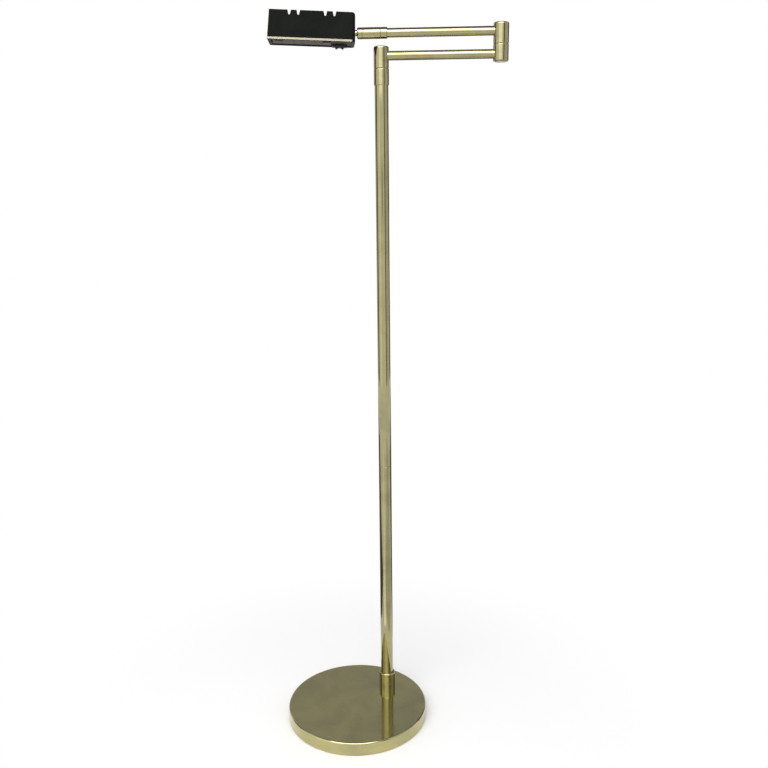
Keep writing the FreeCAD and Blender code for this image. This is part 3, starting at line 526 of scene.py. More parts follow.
def pressed_felt():
    """Dark green felt: matted fibres with a soft sheen."""
    material, tree, shader = new_material("pressed_felt", {
        "Sheen Weight": 0.5, "Sheen Roughness": 0.5, "Roughness": 0.95,
    })
    spot = add(tree, "TexCoord").outputs["Object"]
    fibres = add(tree, "TexNoise", {
        "Vector": spot, "Scale": 1100.0, "Detail": 6.0, "Roughness": 0.8, "Distortion": 2.5,
    })
    matted = add(tree, "TexNoise", {"Vector": spot, "Scale": 90.0, "Detail": 3.0})
    fleck = mixed(tree, fibres.outputs["Fac"], (0.012, 0.035, 0.018), (0.05, 0.1, 0.06))
    tree.links.new(
        mixed(tree, ranged(tree, matted.outputs["Fac"], 0.0, 0.5), fleck, (0.025, 0.05, 0.032)),
        shader.inputs["Base Color"],
    )
    bumped(tree, shader, fibres.outputs["Fac"], 0.9, 0.0005)
    return material


def glazed_ceramic(name, colour, stained):
    """Half-glazed ceramic with cloudy stains and small dark pits."""
    material, tree, shader = new_material(name, {"IOR": 1.5, "Specular IOR Level": 0.2})
    stain = placed(tree, STAIN, {"Scale": 80.0, "Cover": 0.8, "Speck Scale": 900.0})
    base = mixed(tree, stain.outputs["Cloud"], colour, stained)
    pit_colour = tuple(0.35 * part for part in colour)
    pitted = mixed(tree, stain.outputs["Specks"], base, pit_colour)
    tree.links.new(pitted, shader.inputs["Base Color"])
    tree.links.new(ranged(tree, stain.outputs["Cloud"], 0.4, 0.55), shader.inputs["Roughness"])
    bumped(tree, shader, stain.outputs["Specks"], 0.3, 0.0001)
    return material


def quartz_glass():
    """Clear quartz tube, faintly milky where it has been hot."""
    material, tree, shader = new_material("quartz_glass", {
        "Base Color": (0.96, 0.97, 0.98, 1), "IOR": 1.46, "Transmission Weight": 1.0,
    })
    stain = placed(tree, STAIN, {"Scale": 120.0, "Cover": 0.5, "Speck Scale": 900.0})
    tree.links.new(ranged(tree, stain.outputs["Cloud"], 0.02, 0.14), shader.inputs["Roughness"])
    return material


def amber_sheath():
    """Clear amber plastic round two stranded cores."""
    material, tree, shader = new_material("amber_sheath", {
        "IOR": 1.48, "Coat Weight": 0.4, "Coat Roughness": 0.12,
    })
    stain = placed(tree, STAIN, {"Scale": 120.0, "Cover": 0.7, "Speck Scale": 900.0})
    lines = placed(tree, LINES, {"Stretch": (300.0, 300.0, 60.0)})
    strands = mixed(tree, lines.outputs["Height"], (0.16, 0.1, 0.03), (0.34, 0.23, 0.09))
    tree.links.new(strands, shader.inputs["Base Color"])
    tree.links.new(ranged(tree, stain.outputs["Cloud"], 0.25, 0.4), shader.inputs["Roughness"])
    return material


BRASS_CLEAN = (0.40, 0.365, 0.19)
BRASS_STAINED = (0.27, 0.245, 0.125)
ROLLED = (900.0, 900.0, 60.0)
EVEN_GRAIN = (900.0, 900.0, 900.0)

base_brass = brass(
    "base_brass", (0.5, 0.455, 0.215), (0.37, 0.34, 0.18), cloud=16.0, cover=0.85,
    shine=0.05, stretch=(30.0, 500.0, 500.0), dust=0.18,
)
tube_brass = brass("tube_brass", BRASS_CLEAN, BRASS_STAINED, cloud=26.0)
arm_brass = brass(
    "arm_brass", BRASS_CLEAN, BRASS_STAINED, cloud=34.0, stretch=(8.0, 700.0, 700.0),
)
turned_brass = brass(
    "turned_brass", BRASS_CLEAN, BRASS_STAINED, cloud=60.0, stretch=(120.0, 120.0, 1400.0),
)
trim_brass = brass(
    "trim_brass", (0.56, 0.5, 0.37), (0.44, 0.38, 0.25), cloud=40.0, cover=0.3,
    shine=0.3, dull=0.38, stretch=(20.0, 60.0, 60.0), dust=0.0,
)
shade_enamel = enamel("shade_enamel", (0.004, 0.0048, 0.0036), (0.0085, 0.0095, 0.007))
inner_enamel = enamel(
    "inner_enamel", (0.02, 0.02, 0.019), (0.035, 0.034, 0.031), dust=0.0, wear=0.2,
)
# The reflector sheet: dull aluminium, with its colour darkened to a grey that also paints in the shade
# falling inside the shade.
shaded_reflector_sheet = bare_metal(
    "shaded_reflector_sheet", (0.135, 0.133, 0.126), (0.1, 0.098, 0.092), 0.34, (12.0, 900.0, 900.0),
)
tungsten = bare_metal("tungsten_wire", (0.3, 0.29, 0.28), (0.18, 0.17, 0.17), 0.35, EVEN_GRAIN)
bracket_steel = bare_metal(
    "bracket_steel", (0.07, 0.068, 0.062), (0.05, 0.047, 0.04), 0.5, ROLLED,
)
black_steel = bare_metal("black_steel", (0.03, 0.03, 0.03), (0.05, 0.045, 0.04), 0.4, ROLLED)
zinc = bare_metal("zinc_plate", (0.42, 0.42, 0.4), (0.3, 0.29, 0.26), 0.36, ROLLED)
switch_black = plastic("switch_black", (0.012, 0.012, 0.013))
rocker_black = plastic("rocker_black", (0.018, 0.018, 0.019), rough=0.3, coat=0.2)
bushing_black = plastic("bushing_black", (0.015, 0.015, 0.015), rough=0.5)
dark_ceramic = glazed_ceramic("dark_ceramic", (0.05, 0.042, 0.035), (0.085, 0.07, 0.055))
clear_quartz = quartz_glass()
pale_ceramic = glazed_ceramic("pale_ceramic", (0.5, 0.48, 0.43), (0.36, 0.33, 0.28))
nylon = plastic("nylon", (0.62, 0.59, 0.5), rough=0.45, grain=900.0)

FINISHES = {
    "polished_brass": turned_brass,
    "cast_iron": cast_iron(),
    "felt": pressed_felt(),
    "black_plastic": switch_black,
    "zinc_steel": zinc,
    "nylon": nylon,
    "lead_sheath": amber_sheath(),
    "black_enamel": shade_enamel,
    "bright_aluminium": shaded_reflector_sheet,
    "dark_ceramic": dark_ceramic,
    "quartz": clear_quartz,
}


def dress_nodes():
    """Give every CAD node the finish of its slot, and the lampholders' brackets their own."""
    for subpart in frame["record"]["subparts"]:
        name = subpart["node"]
        finish = bracket_steel if "bracket" in name else FINISHES[subpart["material_slot"]]
        for holder in frame["nodes"][name].material_slots:
            holder.material = finish


def turned_piece(name, corners, place, body, material, *nodes, steps=128):
    """A finished piece of turned brass."""
    return finished(name, lathe(corners, steps), place, body, "polished_brass", material, *nodes)


# Pieces

def make_base():
    """The spun cover: a flat dish with a rounded upper edge."""
    low, high = extent("base_cover")
    radius = (high.x - low.x) / 2
    under = high.z - BASE_WALL
    turned_piece("base_dish", [
        (0, high.z),
        (radius, high.z, BASE_ROUND),
        (radius, low.z, SOFT_EDGE),
        (radius - BASE_WALL, low.z, SOFT_EDGE),
        (radius - BASE_WALL, under, BASE_ROUND - BASE_WALL),
        (0, under),
    ], Matrix(), "root", base_brass, "base_cover", steps=256)


def make_bushing():
    """The cord's bushing in the back of the rim, drawn with a blind bore."""
    node = middle("cord_bushing")
    outward = math.degrees(math.atan2(node.y, node.x))
    place = shifted(0, 0, node.z) @ turn(outward, "Z") @ ALONG_X
    low, high = extent("cord_bushing", place)
    bore = 3.3
    bore_end = high.z - 1.8
    shank = 5.0
    flange = high.y
    flange_back = high.z - 1.9
    flange_round = 0.7
    mesh = lathe([
        (0, bore_end),
        (bore, bore_end),
        (bore, high.z, flange_round),
        (flange, high.z, flange_round),
        (flange, flange_back, FINE_EDGE),
        (shank, flange_back),
        (shank, low.z, SOFT_EDGE),
        (0, low.z),
    ], steps=64)
    finished("bushing", mesh, place, "root", "black_plastic", bushing_black, "cord_bushing")


def make_pole():
    """The foot collar, the two drawn tubes and the ring under the arms."""
    low, high = extent("foot_collar", AT_POLE)
    shoulder = 2.6
    turned_piece("pole_foot", [
        (high.x, low.z, SOFT_EDGE),
        (high.x, high.z, shoulder),
        (POLE_RADIUS, high.z, FINE_EDGE),
        (POLE_RADIUS, low.z),
    ], AT_POLE, "root", turned_brass, "foot_collar")
    for node in ("pole_lower_tube", "pole_upper_tube"):
        low, high = extent(node, AT_POLE)
        turned_piece(node.replace("pole", "drawn"), [
            (high.x - POLE_WALL, low.z),
            (high.x, low.z, SOFT_EDGE),
            (high.x, high.z, SOFT_EDGE),
            (high.x - POLE_WALL, high.z),
        ], AT_POLE, "root", tube_brass, node)
    low, high = extent("pole_neck_ring", AT_POLE)
    socket = 11.0
    stem_hole = 5.2
    web = 5
    web_cone = 1
    turned_piece("neck_collar", [
        (socket, low.z),
        (high.x, low.z, SEAM_EDGE),
        (high.x, high.z, SEAM_EDGE),
        (stem_hole, high.z),
        (stem_hole, high.z - web),
        (socket, high.z - web - web_cone),
    ], AT_POLE, "root", turned_brass, "pole_neck_ring")


def make_knuckle(name, node, lid, place, body, lid_on_top):
    """A hollow knuckle with its pressed-in lid, which is a little domed."""
    low, high = extent(node, place)
    lid_radius = extent(lid, place)[1].x
    seam, end = (low.z, high.z) if lid_on_top else (high.z, low.z)
    inward = -1 if lid_on_top else 1
    stem_hole = 5.1
    cavity = 8.5
    floor = seam - inward * 5.5
    ledge = end + inward * 3.4
    lid_gap = 0.05
    turned_piece(name, [
        (stem_hole, seam),
        (high.x, seam, SEAM_EDGE),
        (high.x, end, KNUCKLE_ROUND),
        (lid_radius + lid_gap, end),
        (lid_radius + lid_gap, ledge),
        (cavity, ledge),
        (cavity, floor),
        (stem_hole, floor),
    ], place, body, turned_brass, node)
    dome = 0.25
    dome_shoulder = 0.12
    turned_piece(name + "_cap", [
        (0, end - inward * dome),
        (lid_radius * 0.55, end - inward * dome_shoulder, 2.0),
        (lid_radius, end, 0.25),
        (lid_radius, ledge),
        (0, ledge),
    ], place, body, turned_brass, lid)


def make_arm(name, node, place, body):
    """A plain drawn tube between two knuckles, or between a knuckle and the end ring."""
    low, high = extent(node, place)
    turned_piece(name, [
        (high.x - ARM_WALL, low.z),
        (high.x, low.z),
        (high.x, high.z),
        (high.x - ARM_WALL, high.z),
    ], place, body, arm_brass, node, steps=96)


def make_swivel():
    """The arm's end ring, the sleeve that turns on it and the cap that holds the ball."""
    sleeve_low, sleeve_high = extent("swivel_sleeve", UPPER_ARM)
    low, high = extent("arm_end_ring", UPPER_ARM)
    arm_socket = 7.2
    socket_end = low.z + 7
    spigot = 5.9
    way = 4.1
    ring_round = 1.0
    ring_end = sleeve_low.z - 0.3
    turned_piece("end_ring", [
        (arm_socket, low.z),
        (high.x, low.z, ring_round),
        (high.x, ring_end, SOFT_EDGE),
        (spigot, ring_end),
        (spigot, high.z),
        (way, high.z),
        (way, socket_end),
        (arm_socket, socket_end),
    ], UPPER_ARM, "upper_arm", turned_brass, "arm_end_ring", steps=96)
    spigot_hole = 6.0
    hole_end = sleeve_low.z + 4.8
    chamber = 7.6
    cap_seat = 8.2
    seat_end = sleeve_high.z - 5.5
    turned_piece("sleeve", [
        (spigot_hole, sleeve_low.z),
        (sleeve_high.x, sleeve_low.z, SOFT_EDGE),
        (sleeve_high.x, sleeve_high.z, SOFT_EDGE),
        (cap_seat, sleeve_high.z),
        (cap_seat, seat_end),
        (chamber, seat_end),
        (chamber, hole_end),
        (spigot_hole, hole_end),
    ], UPPER_ARM, "swivel", turned_brass, "swivel_sleeve", steps=96)
    low, high = extent("swivel_cap", UPPER_ARM)
    shank = 8.1
    seam = sleeve_high.z + 0.02
    cap_round = 1.6
    mouth = 7.2
    lip = 6.45
    lip_depth = 2
    ball_seat = 7.35
    ball_widest = BALL_FROM_ELBOW + 0.6
    turned_piece("socket_cap", [
        (chamber, low.z),
        (shank, low.z),
        (shank, seam),
        (high.x, seam, SOFT_EDGE),
        (high.x, high.z, cap_round),
        (mouth, high.z, CRISP_EDGE),
        (lip, high.z - lip_depth, CRISP_EDGE),
        (ball_seat, ball_widest),
        (chamber, ball_widest),
    ], UPPER_ARM, "swivel", turned_brass, "swivel_cap", steps=96)


def make_ball():
    """The ball and its hollow neck, which passes through the shade's end wall."""
    place = HEAD @ ALONG_X
    tip = extent("ball_stud", place)[1].z
    end_wall = extent("shade_shell", HEAD)[0].x
    ball = 7.3
    way = 2.3
    neck = 4.75
    neck_foot = (3.9, 5.6)
    neck_start = 6.2
    thread = 4.5
    mesh = bmesh.new()
    bmesh.ops.create_uvsphere(mesh, u_segments=96, v_segments=64, radius=ball)
    stem = lathe([
        (way, -1),
        neck_foot,
        (neck, neck_start, CRISP_EDGE),
        (neck, end_wall),
        (thread, end_wall),
        (thread, tip, SEAM_EDGE),
        (way, tip),
    ], steps=96)
    finished(
        "ball_and_neck", merged(mesh, stem), place, "head", "polished_brass", turned_brass,
        "ball_stud",
    )


def cut_vents(mesh, centre_x, ridge):
    """Open V slots across the ridge, a plane cut on each of their three sides."""
    flare = (VENT_TOP - VENT_FOOT) / 2 / VENT_DEPTH
    foot = ridge - VENT_DEPTH
    for place in VENT_PLACES:
        middle_x = centre_x + place
        cuts = [((middle_x, 0, foot), (0, 0, 1))]
        for side in (-1, 1):
            edge = (middle_x + side * VENT_FOOT / 2, 0, foot)
            cuts.append((edge, (side, 0, -flare)))
        for point, normal in cuts:
            whole = mesh.verts[:] + mesh.edges[:] + mesh.faces[:]
            bmesh.ops.bisect_plane(
                mesh, geom=whole, dist=1e-5, plane_co=point, plane_no=normal,
            )
        gone = []
        for face in mesh.faces:
            spot = face.calc_center_median()
            half = VENT_FOOT / 2 + flare * (spot.z - foot)
            if spot.z > foot and abs(spot.x - middle_x) < half:
                gone.append(face)
        bmesh.ops.delete(mesh, geom=gone, context="FACES")


def make_shade():
    """One folded sheet: tent section, leaning far end, rounded folds and vents."""
    low, high = extent("shade_shell", HEAD)
    mesh = extruded([
        (low.x, low.y, low.z), (low.x, high.y, low.z),
        (low.x, RIDGE_HALF, high.z), (low.x, -RIDGE_HALF, high.z),
    ], (high.x - low.x, 0, 0))
    for vertex in mesh.verts:
        if vertex.co.x > high.x - AT_LIMIT and vertex.co.z > high.z - AT_LIMIT:
            vertex.co.x -= FAR_END_LEAN
    ridge_folds = [
        edge for edge in mesh.edges
        if min(end.co.z for end in edge.verts) > high.z - AT_LIMIT
        and edge.calc_length() > LONG_EDGE
    ]
    soften(mesh, ridge_folds, FOLD_ROUND, 6)
    neck_end = [
        edge for edge in mesh.edges
        if max(end.co.x for end in edge.verts) < low.x + AT_LIMIT
        and max(end.co.z for end in edge.verts) > low.z + AT_LIMIT
    ]
    soften(mesh, neck_end, NECK_END_ROUND, 8)
    mouth = [face for face in mesh.faces if face.normal.z < -0.9]
    bmesh.ops.delete(mesh, geom=mouth, context="FACES")
    cut_vents(mesh, (low.x + high.x) / 2, high.z)
    bmesh.ops.dissolve_limit(
        mesh, angle_limit=math.radians(0.5), verts=mesh.verts, edges=mesh.edges,
    )
    piece = finished(
        "folded_shade", mesh, HEAD, "head", "black_enamel", shade_enamel, "shade_shell",
    )
    piece.data.materials.append(inner_enamel)
    wall = piece.modifiers.new("wall", "SOLIDIFY")
    wall.thickness = SHEET * MM
    wall.offset = -1
    wall.use_even_offset = True
    wall.material_offset = 1
    edges = piece.modifiers.new("edges", "BEVEL")
    edges.width = 0.25 * MM
    edges.segments = 2
    edges.limit_method = "ANGLE"
    edges.angle_limit = math.radians(50)


def make_hem():
    """The narrow flange turned in round the shade's mouth, rounded at the neck end."""
    low, high = extent("shade_shell", HEAD)
    inner = SHEET * 0.95
    hem = bmesh.new()
    hem.faces.new([hem.verts.new(corner) for corner in (
        (low.x + inner, low.y + inner, low.z), (high.x - inner, low.y + inner, low.z),
        (high.x - inner, high.y - inner, low.z), (low.x + inner, high.y - inner, low.z),
    )])
    near_corners = [corner for corner in hem.verts if corner.co.x < low.x + inner + AT_LIMIT]
    bmesh.ops.bevel(
        hem, geom=near_corners, offset=NECK_END_ROUND - inner, offset_type="OFFSET",
        affect="VERTICES", segments=8, profile=0.5, material=-1,
    )
    mouth = hem.faces[:]
    bmesh.ops.inset_region(
        hem, faces=mouth, thickness=HEM, use_boundary=True, use_even_offset=True,
    )
    bmesh.ops.delete(hem, geom=mouth, context="FACES")
    raised = bmesh.ops.extrude_face_region(hem, geom=hem.faces[:], use_keep_orig=True)
    bmesh.ops.translate(hem, vec=(0, 0, SHEET), verts=points_of(raised["geom"]))
    bmesh.ops.recalc_face_normals(hem, faces=hem.faces)
    finished("shade_hem", hem, HEAD, "head", "black_enamel", shade_enamel)


def make_trims():
    """Bright strips along both long sides, just above the rim, on the leaning faces."""
    shade_low, shade_high = extent("shade_shell", HEAD)
    slope = (shade_high.y - RIDGE_HALF) / (shade_high.z - shade_low.z)
    strip = 0.5
    for name, node, side in (("front_strip", "front_trim", 1), ("rear_strip", "rear_trim", -1)):
        low, high = extent(node, HEAD)
        foot = side * shade_high.y
        top = foot - side * slope * (high.z - low.z)
        out = side * strip * math.hypot(1, slope)
        mesh = extruded([
            (low.x, foot, low.z),
            (low.x, foot + out, low.z),
            (low.x, top + out, high.z),
            (low.x, top, high.z),
        ], (high.x - low.x, 0, 0))
        outer = [
            edge for edge in mesh.edges
            if edge.calc_length() > LONG_EDGE
            and all(side * end.co.y > side * top + 0.3 for end in edge.verts)
        ]
        soften(mesh, outer, FINE_EDGE, 3)
        finished(name, mesh, HEAD, "head", "polished_brass", trim_brass, node)


def make_switch():
    """The switch's bezel, with the well that the rocker stands in, and its body above."""
    low, high = extent("switch_housing", HEAD)
    centre = (low + high) / 2
    key_low, key_high = extent("switch_rocker", HEAD)
    bezel_top = low.z + 3.4
    bezel = block(low, (high.x, high.y, bezel_top))
    outer = [
        edge for edge in bezel.edges
        if min(spot.co.z for spot in edge.verts) < bezel_top - AT_LIMIT
    ]
    soften(bezel, outer, 1.2, 4)

    play_x = 0.5
    play_y = 0.35
    well_x = (key_high.x - key_low.x) / 2 + play_x
    well_y = (key_high.y - key_low.y) / 2 + play_y
    well_depth = 3.2
    face = [item for item in bezel.faces if item.normal.z < -0.999]
    bmesh.ops.inset_region(bezel, faces=face, thickness=0.4, use_even_offset=True)
    half_x = max(abs(spot.co.x - centre.x) for spot in face[0].verts)
    half_y = max(abs(spot.co.y - centre.y) for spot in face[0].verts)
    for spot in face[0].verts:
        spot.co.x = centre.x + (spot.co.x - centre.x) * well_x / half_x
        spot.co.y = centre.y + (spot.co.y - centre.y) * well_y / half_y
    sunk = bmesh.ops.extrude_face_region(bezel, geom=face)
    bmesh.ops.delete(bezel, geom=face, context="FACES")
    bmesh.ops.translate(bezel, vec=(0, 0, well_depth), verts=points_of(sunk["geom"]))

    body_x = 10
    body_y = 5.7
    overlap = 0.05
    body = block(
        (centre.x - body_x, centre.y - body_y, bezel_top - overlap),
        (centre.x + body_x, centre.y + body_y, high.z), 0.6,
    )
    finished(
        "switch_bezel", merged(bezel, body), HEAD, "head", "black_plastic", switch_black,
        "switch_housing",
    )


def make_rocker():
    """The rocker, whose two ends stand below its hollow middle."""
    low, high = extent("switch_rocker", HEAD)
    outline = []
    for end, inward in ((low.x, 1), (high.x, -1)):
        half = [
            (end, high.z),
            (end, low.z + 1.2),
            (end + inward, low.z),
            (end + inward * 2.4, low.z + 0.2),
            (end + inward * 4.4, low.z + 1.9),
        ]
        outline += half if inward > 0 else reversed(half)
    mesh = extruded([(x, low.y, z) for x, z in outline], (0, high.y - low.y, 0))
    soften(mesh, mesh.edges[:], CRISP_EDGE, 3)
    finished("rocker_key", mesh, HEAD, "rocker", "black_plastic", rocker_black, "switch_rocker")


def make_lampholder(name, node, facing):
    """A ceramic end holder: rounded block, raised socket collar and its sprung contact."""
    low, high = extent(node, HEAD)
    bulb_low, bulb_high = extent("halogen_bulb", HEAD)
    axis = (bulb_low + bulb_high) / 2
    inner = high.x if facing > 0 else low.x
    socket = shifted(inner, axis.y, axis.z) @ turn(90 * facing, "Y")
    bore = 3.8
    collar_radius = 5.6
    collar_height = 0.5
    sunk = -1.0
    collar = lathe([
        (bore, sunk),
        (collar_radius, sunk),
        (collar_radius, collar_height, 0.45),
        (bore + 0.4, collar_height, CRISP_EDGE),
        (bore, -0.2),
    ], steps=48)
    collar.transform(socket)
    contact_radius = 2.2
    contact = lathe([
        (0, -0.9),
        (contact_radius, -0.9),
        (contact_radius, -0.3, CRISP_EDGE),
        (0, 0.1),
    ], steps=32)
    contact.transform(socket)
    finished(
        name, merged(block(low, high, 2.0, 5), collar), HEAD, "head", "dark_ceramic",
        dark_ceramic, node,
    )
    finished(name + "_contact", contact, HEAD, "head", "zinc_steel", zinc)


def make_bulb():
    """A linear halogen bulb: quartz tube with pinched ends, coiled filament, ceramic caps."""
    low, high = extent("halogen_bulb", HEAD)
    axis = (low + high) / 2
    along = HEAD @ shifted(axis.x, axis.y, axis.z) @ ALONG_X
    half = (high.x - low.x) / 2
    tube = (high.y - low.y) / 2
    pinch_start = half - 11
    make_quartz(along, pinch_start, tube)
    make_filament(along, pinch_start)

    body = 3.5
    body_end = half - 1.4
    pin = 1.2
    pin_end = half - 0.4
    start = pinch_start + 1.5
    caps = []
    for side in (-1, 1):
        cap = lathe([
            (0, pin_end),
            (pin, pin_end, 0.4),
            (pin, body_end),
            (body, body_end, 0.6),
            (body, start, 0.5),
            (0, start),
        ], steps=48)
        if side < 0:
            cap.transform(turn(180, "Y"))
        caps.append(cap)
    finished("bulb_caps", merged(*caps), along, "head", "dark_ceramic", pale_ceramic)


def make_quartz(along, pinch_start, tube):
    """The clear tube with its hollow and its two pinched ends."""
    wall = 1.0
    pinch_end = pinch_start + 3
    turned_ends = [
        (pinch_start - 4.5, tube, 2.2),
        (pinch_start - 0.5, 2.9, 0.8),
        (pinch_end, 2.6, 0.5),
    ]
    outer = [(radius, -z, bend) for z, radius, bend in reversed(turned_ends)]
    outer += [(radius, z, bend) for z, radius, bend in turned_ends]
    quartz = lathe([(0, -pinch_end), *outer, (0, pinch_end)], steps=64)
    hollow_end = pinch_start - 4.6
    shoulder = pinch_start - 5.6
    hollow = lathe([
        (0, -hollow_end),
        (tube - wall, -shoulder, 1.6),
        (tube - wall, shoulder, 1.6),
        (0, hollow_end),
    ], steps=64)
    bmesh.ops.reverse_faces(hollow, faces=hollow.faces)
    finished(
        "quartz_tube", merged(quartz, hollow), along, "head", "quartz", clear_quartz,
        "halogen_bulb",
    )


def make_filament(along, pinch_start):
    """The coiled wire, with a straight leg from each of its ends to the bulb's pinch."""
    turns = 26
    steps = 12
    wire = 0.17
    coil_radius = 0.95
    long = 2 * pinch_start - 16
    coil = bmesh.new()
    bmesh.ops.create_circle(
        coil, segments=6, radius=wire, matrix=shifted(coil_radius, 0, -long / 2) @ turn(90, "X"),
    )
    bmesh.ops.spin(
        coil, geom=coil.verts[:] + coil.edges[:], axis=(0, 0, 1), cent=(0, 0, 0),
        dvec=(0, 0, long / turns / steps), angle=2 * math.pi * turns, steps=steps * turns,
    )
    closed(coil)
    leg_radius = 0.3
    leg_round = 0.1
    leg_place = shifted(0.5)
    legs = []
    for side in (-1, 1):
        start, end = sorted((side * long / 2, side * (pinch_start + 1)))
        leg = lathe([
            (0, start), (leg_radius, start, leg_round), (leg_radius, end, leg_round), (0, end),
        ], steps=12)
        leg.transform(leg_place)
        legs.append(leg)
    finished("filament", merged(coil, *legs), along, "head", "zinc_steel", tungsten)


def make_grub_screw():
    """The socket screw that locks the ball's cap in the sleeve, sunk in the cap's front."""
    cap_radius = extent("swivel_cap", UPPER_ARM)[1].x
    seam = extent("swivel_sleeve", UPPER_ARM)[1].z
    radius = 1.5
    key = 0.85
    length = 3.0
    key_depth = 1.2
    from_seam = 1.9
    proud = 0.06
    screw = bmesh.new()
    bmesh.ops.create_circle(screw, segments=24, radius=radius)
    bmesh.ops.create_circle(screw, segments=6, radius=key)
    rings = screw.edges[:]
    outer = [edge for edge in rings if edge.verts[0].co.length > 1]
    inner = [edge for edge in rings if edge.verts[0].co.length < 1]
    bmesh.ops.bridge_loops(screw, edges=rings)
    for ring, drop in ((outer, length), (inner, key_depth)):
        drawn = bmesh.ops.extrude_edge_only(screw, edges=ring)["geom"]
        bmesh.ops.translate(screw, vec=(0, 0, -drop), verts=points_of(drawn))
        end = [item for item in drawn if isinstance(item, bmesh.types.BMEdge)]
        bmesh.ops.edgeloop_fill(screw, edges=end)
    bmesh.ops.recalc_face_normals(screw, faces=screw.faces)
    where = (
        UPPER_ARM @ shifted(0, 0, seam - from_seam) @ turn(GRUB_SCREW_BEARING, "Z")
        @ shifted(cap_radius + proud, 0, 0) @ ALONG_X
    )
    finished("grub_screw", screw, where, "swivel", "zinc_steel", black_steel)


# Staging

def make_camera():
    """The photograph's viewpoint."""
    camera = bpy.data.objects.new("Camera", bpy.data.cameras.new("Camera"))
    camera.matrix_world = (
        shifted(*CAMERA_PLACE) @ turn(CAMERA_PAN, "Z") @ turn(CAMERA_TILT, "X")
        @ turn(CAMERA_ROLL, "Z")
    )
    camera.data.lens = CAMERA_LENS
    camera.data.sensor_width = CAMERA_SENSOR
    bpy.context.scene.collection.objects.link(camera)
    bpy.context.scene.camera = camera


def make_floor():
    """A pale floor that keeps the object's shadow and fades to plain white around it."""
    mesh = bmesh.new()
    bmesh.ops.create_circle(mesh, cap_ends=True, radius=FLOOR_RADIUS, segments=96)
    data = bpy.data.meshes.new("floor")
    mesh.to_mesh(data)
    mesh.free()
    floor = bpy.data.objects.new("floor", data)
    bpy.context.scene.collection.objects.link(floor)
    material, tree, shader = new_material("floor", {
        "Base Color": (0.94, 0.94, 0.94, 1), "Roughness": 0.9, "Specular IOR Level": 0.0,
    })
    glow = add(tree, "Emission", {"Color": (1, 1, 1, 1), "Strength": 1.0})
    spot = add(tree, "TexCoord").outputs["Object"]
    distance = add(tree, "VectorMath", {0: spot}, operation="LENGTH")
    away = add(tree, "MapRange", {
        "Value": distance.outputs["Value"], "From Min": FADE_START, "From Max": FADE_END,
    }, interpolation_type="SMOOTHSTEP")
    blend = add(tree, "MixShader", {
        0: away.outputs["Result"], 1: shader.outputs["BSDF"], 2: glow.outputs["Emission"],
    })
    tree.links.new(blend.outputs["Shader"], tree.nodes["Material Output"].inputs["Surface"])
    data.materials.append(material)
    floor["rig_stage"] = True


def make_world():
    """White for what the camera, metal and glass see; a softer fill for everything else."""
    world = bpy.data.worlds.new("studio")
    bpy.context.scene.world = world
    world.use_nodes = True
    tree = world.node_tree
    tree.nodes.clear()
    path = add(tree, "LightPath")
    shown = add(tree, "Math", {
        0: path.outputs["Is Camera Ray"], 1: path.outputs["Is Glossy Ray"],
    }, operation="MAXIMUM")
    seen = add(tree, "Math", {
        0: shown.outputs["Value"], 1: path.outputs["Is Transmission Ray"],
    }, operation="MAXIMUM")
    strength = add(tree, "MapRange", {"Value": seen.outputs["Value"], "To Min": 0.55, "To Max": 1.0})
    background = add(tree, "Background", {"Color": (1, 1, 1, 1), "Strength": strength.outputs["Result"]})
    output = add(tree, "OutputWorld")
    tree.links.new(background.outputs["Background"], output.inputs["Surface"])


def around(bearing, rise, distance):
    """A place round the lamp: 0 is the camera's side, 90 its right; rise is above the horizon."""
    flat = distance * math.cos(math.radians(rise))
    return STUDIO_CENTRE + Vector((
        flat * math.sin(math.radians(bearing)),
        -flat * math.cos(math.radians(bearing)),
        distance * math.sin(math.radians(rise)),
    ))


def aimed(item, spot, facing):
    """Stand an item in the studio with its given side towards the lamp."""
    item.location = spot
    item.rotation_euler = (STUDIO_CENTRE - spot).to_track_quat(facing, "Y").to_euler()
    bpy.context.scene.collection.objects.link(item)


def make_softbox(name, spot, size, power):
    """A lamp that gives light but is not itself seen in the brass."""
    lamp = bpy.data.lights.new(name, "AREA")
    lamp.shape = "RECTANGLE"
    lamp.size, lamp.size_y = size
    lamp.energy = power
    holder = bpy.data.objects.new(name, lamp)
    holder.visible_glossy = False
    aimed(holder, spot, "-Z")


def make_card(name, size, tone):
    """A card of one grey or white tone that only polished surfaces see."""
    mesh = bmesh.new()
    bmesh.ops.create_grid(mesh, x_segments=1, y_segments=1, size=0.5)
    bmesh.ops.scale(mesh, vec=(*size, 1), verts=mesh.verts)
    data = bpy.data.meshes.new(name)
    mesh.to_mesh(data)
    mesh.free()
    card = bpy.data.objects.new(name, data)
    for kind in ("camera", "diffuse", "shadow", "transmission"):
        setattr(card, "visible_" + kind, False)
    material = bpy.data.materials.new(name)
    material.use_nodes = True
    tree = material.node_tree
    tree.nodes.clear()
    grey = add(tree, "Emission", {"Color": (1, 1, 1, 1), "Strength": tone})
    output = add(tree, "OutputMaterial")
    tree.links.new(grey.outputs["Emission"], output.inputs["Surface"])
    data.materials.append(material)
    card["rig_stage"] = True
    return card


def stand_card(name, bearing, rise, size, tone, distance=CARD_DISTANCE):
    """A card round the lamp, turned towards it."""
    aimed(make_card(name, size, tone), around(bearing, rise, distance), "Z")


def lay_card(name, bearing, near, far, width, tone):
    """A card on the floor, reaching out from the pole's foot between two distances."""
    card = make_card(name, (width, far - near), tone)
    angle = math.radians(bearing)
    reach = (near + far) / 2
    card.location = (
        pole.x * MM + reach * math.sin(angle), pole.y * MM - reach * math.cos(angle), CARD_LIFT,
    )
    card.rotation_euler = (0, 0, angle)
    bpy.context.scene.collection.objects.link(card)


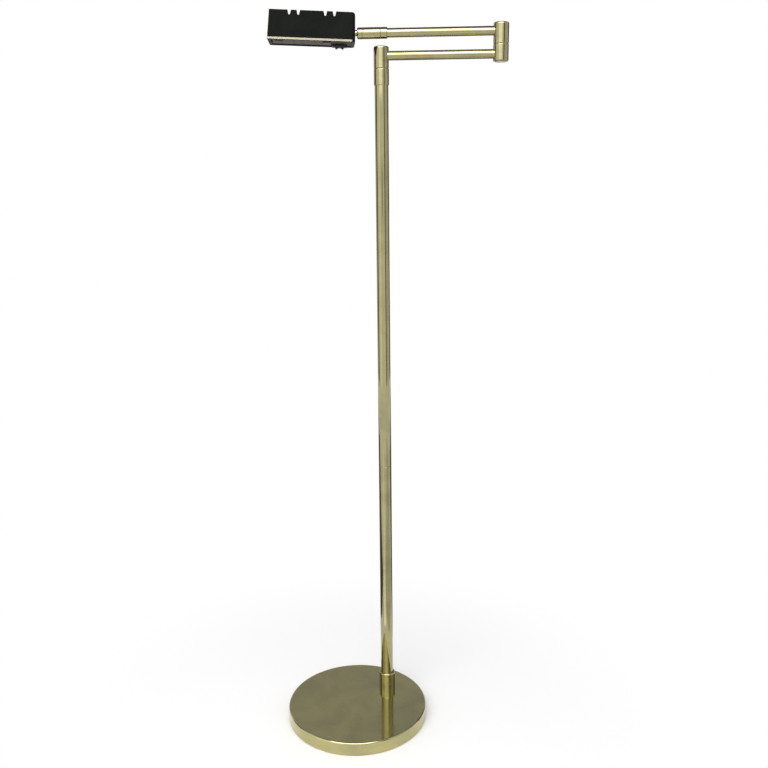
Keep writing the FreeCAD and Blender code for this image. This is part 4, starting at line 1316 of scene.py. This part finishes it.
def make_studio():
    """Camera, floor, world, two lamps, and the cards that give the brass its streaks."""
    make_camera()
    make_floor()
    make_world()
    make_softbox("front_softbox", around(-18, 38, 2.6), (2.5, 2.2), 46)
    make_softbox("overhead", around(20, 80, 2.4), (1.8, 1.8), 24)
    stand_card("high_window_card", -12, 39, (2.7, 2.5), 1.9)
    stand_card("window_strip_card", -6, 51, (2.6, 0.95), 7.5, distance=2.2)
    stand_card("left_white_card", -46, 2, (1.2, 2.6), 1.25)
    stand_card("left_dark_card", -99, 8, (1.0, 2.6), 0.05)
    stand_card("far_left_card", -142, 12, (1.6, 2.6), 0.4)
    stand_card("horizon_card", 1, 3, (0.5, 0.2), 0.25)
    stand_card("right_dark_card", 46, 4, (0.55, 2.0), 0.03)
    stand_card("right_grey_card", 78, 4, (2.0, 2.4), 0.72)
    stand_card("far_right_card", 128, 12, (1.5, 2.6), 0.1)
    stand_card("ceiling_card", 180, 70, (4.0, 2.6), 0.12)
    stand_card("back_card", 182, 20, (3.0, 1.7), 0.4)
    lay_card("floor_window_card", -28, 0.27, 0.42, 0.2, 1.7)
    lay_card("floor_light_card", -26, 0.38, 1.5, 0.3, 1.3)
    lay_card("floor_left_card", -112, 0.3, 1.7, 0.9, 0.1)
    lay_card("floor_right_card", 48, 0.25, 1.6, 0.9, 0.7)
    lay_card("floor_back_card", 180, 0.2, 2.2, 3.0, 0.2)


make_studio()
dress_nodes()
make_base()
make_bushing()
make_pole()
make_knuckle("pole_hub", "pole_knuckle", "pole_lid", AT_POLE, "lower_arm", True)
make_knuckle("elbow_low_hub", "elbow_lower_knuckle", "elbow_lower_lid", AT_ELBOW, "lower_arm", False)
make_knuckle("elbow_high_hub", "elbow_upper_knuckle", "elbow_upper_lid", AT_ELBOW, "upper_arm", True)
make_arm("lower_arm", "lower_arm_tube", LOWER_ARM, "lower_arm")
make_arm("upper_arm", "upper_arm_tube", UPPER_ARM, "upper_arm")
make_swivel()
make_ball()
make_shade()
make_hem()
make_trims()
make_switch()
make_rocker()
make_lampholder("near_holder", "lampholder_near", 1)
make_lampholder("far_holder", "lampholder_far", -1)
make_bulb()
make_grub_screw()
even_normals()

bpy.context.scene.view_settings.view_transform = "Standard"
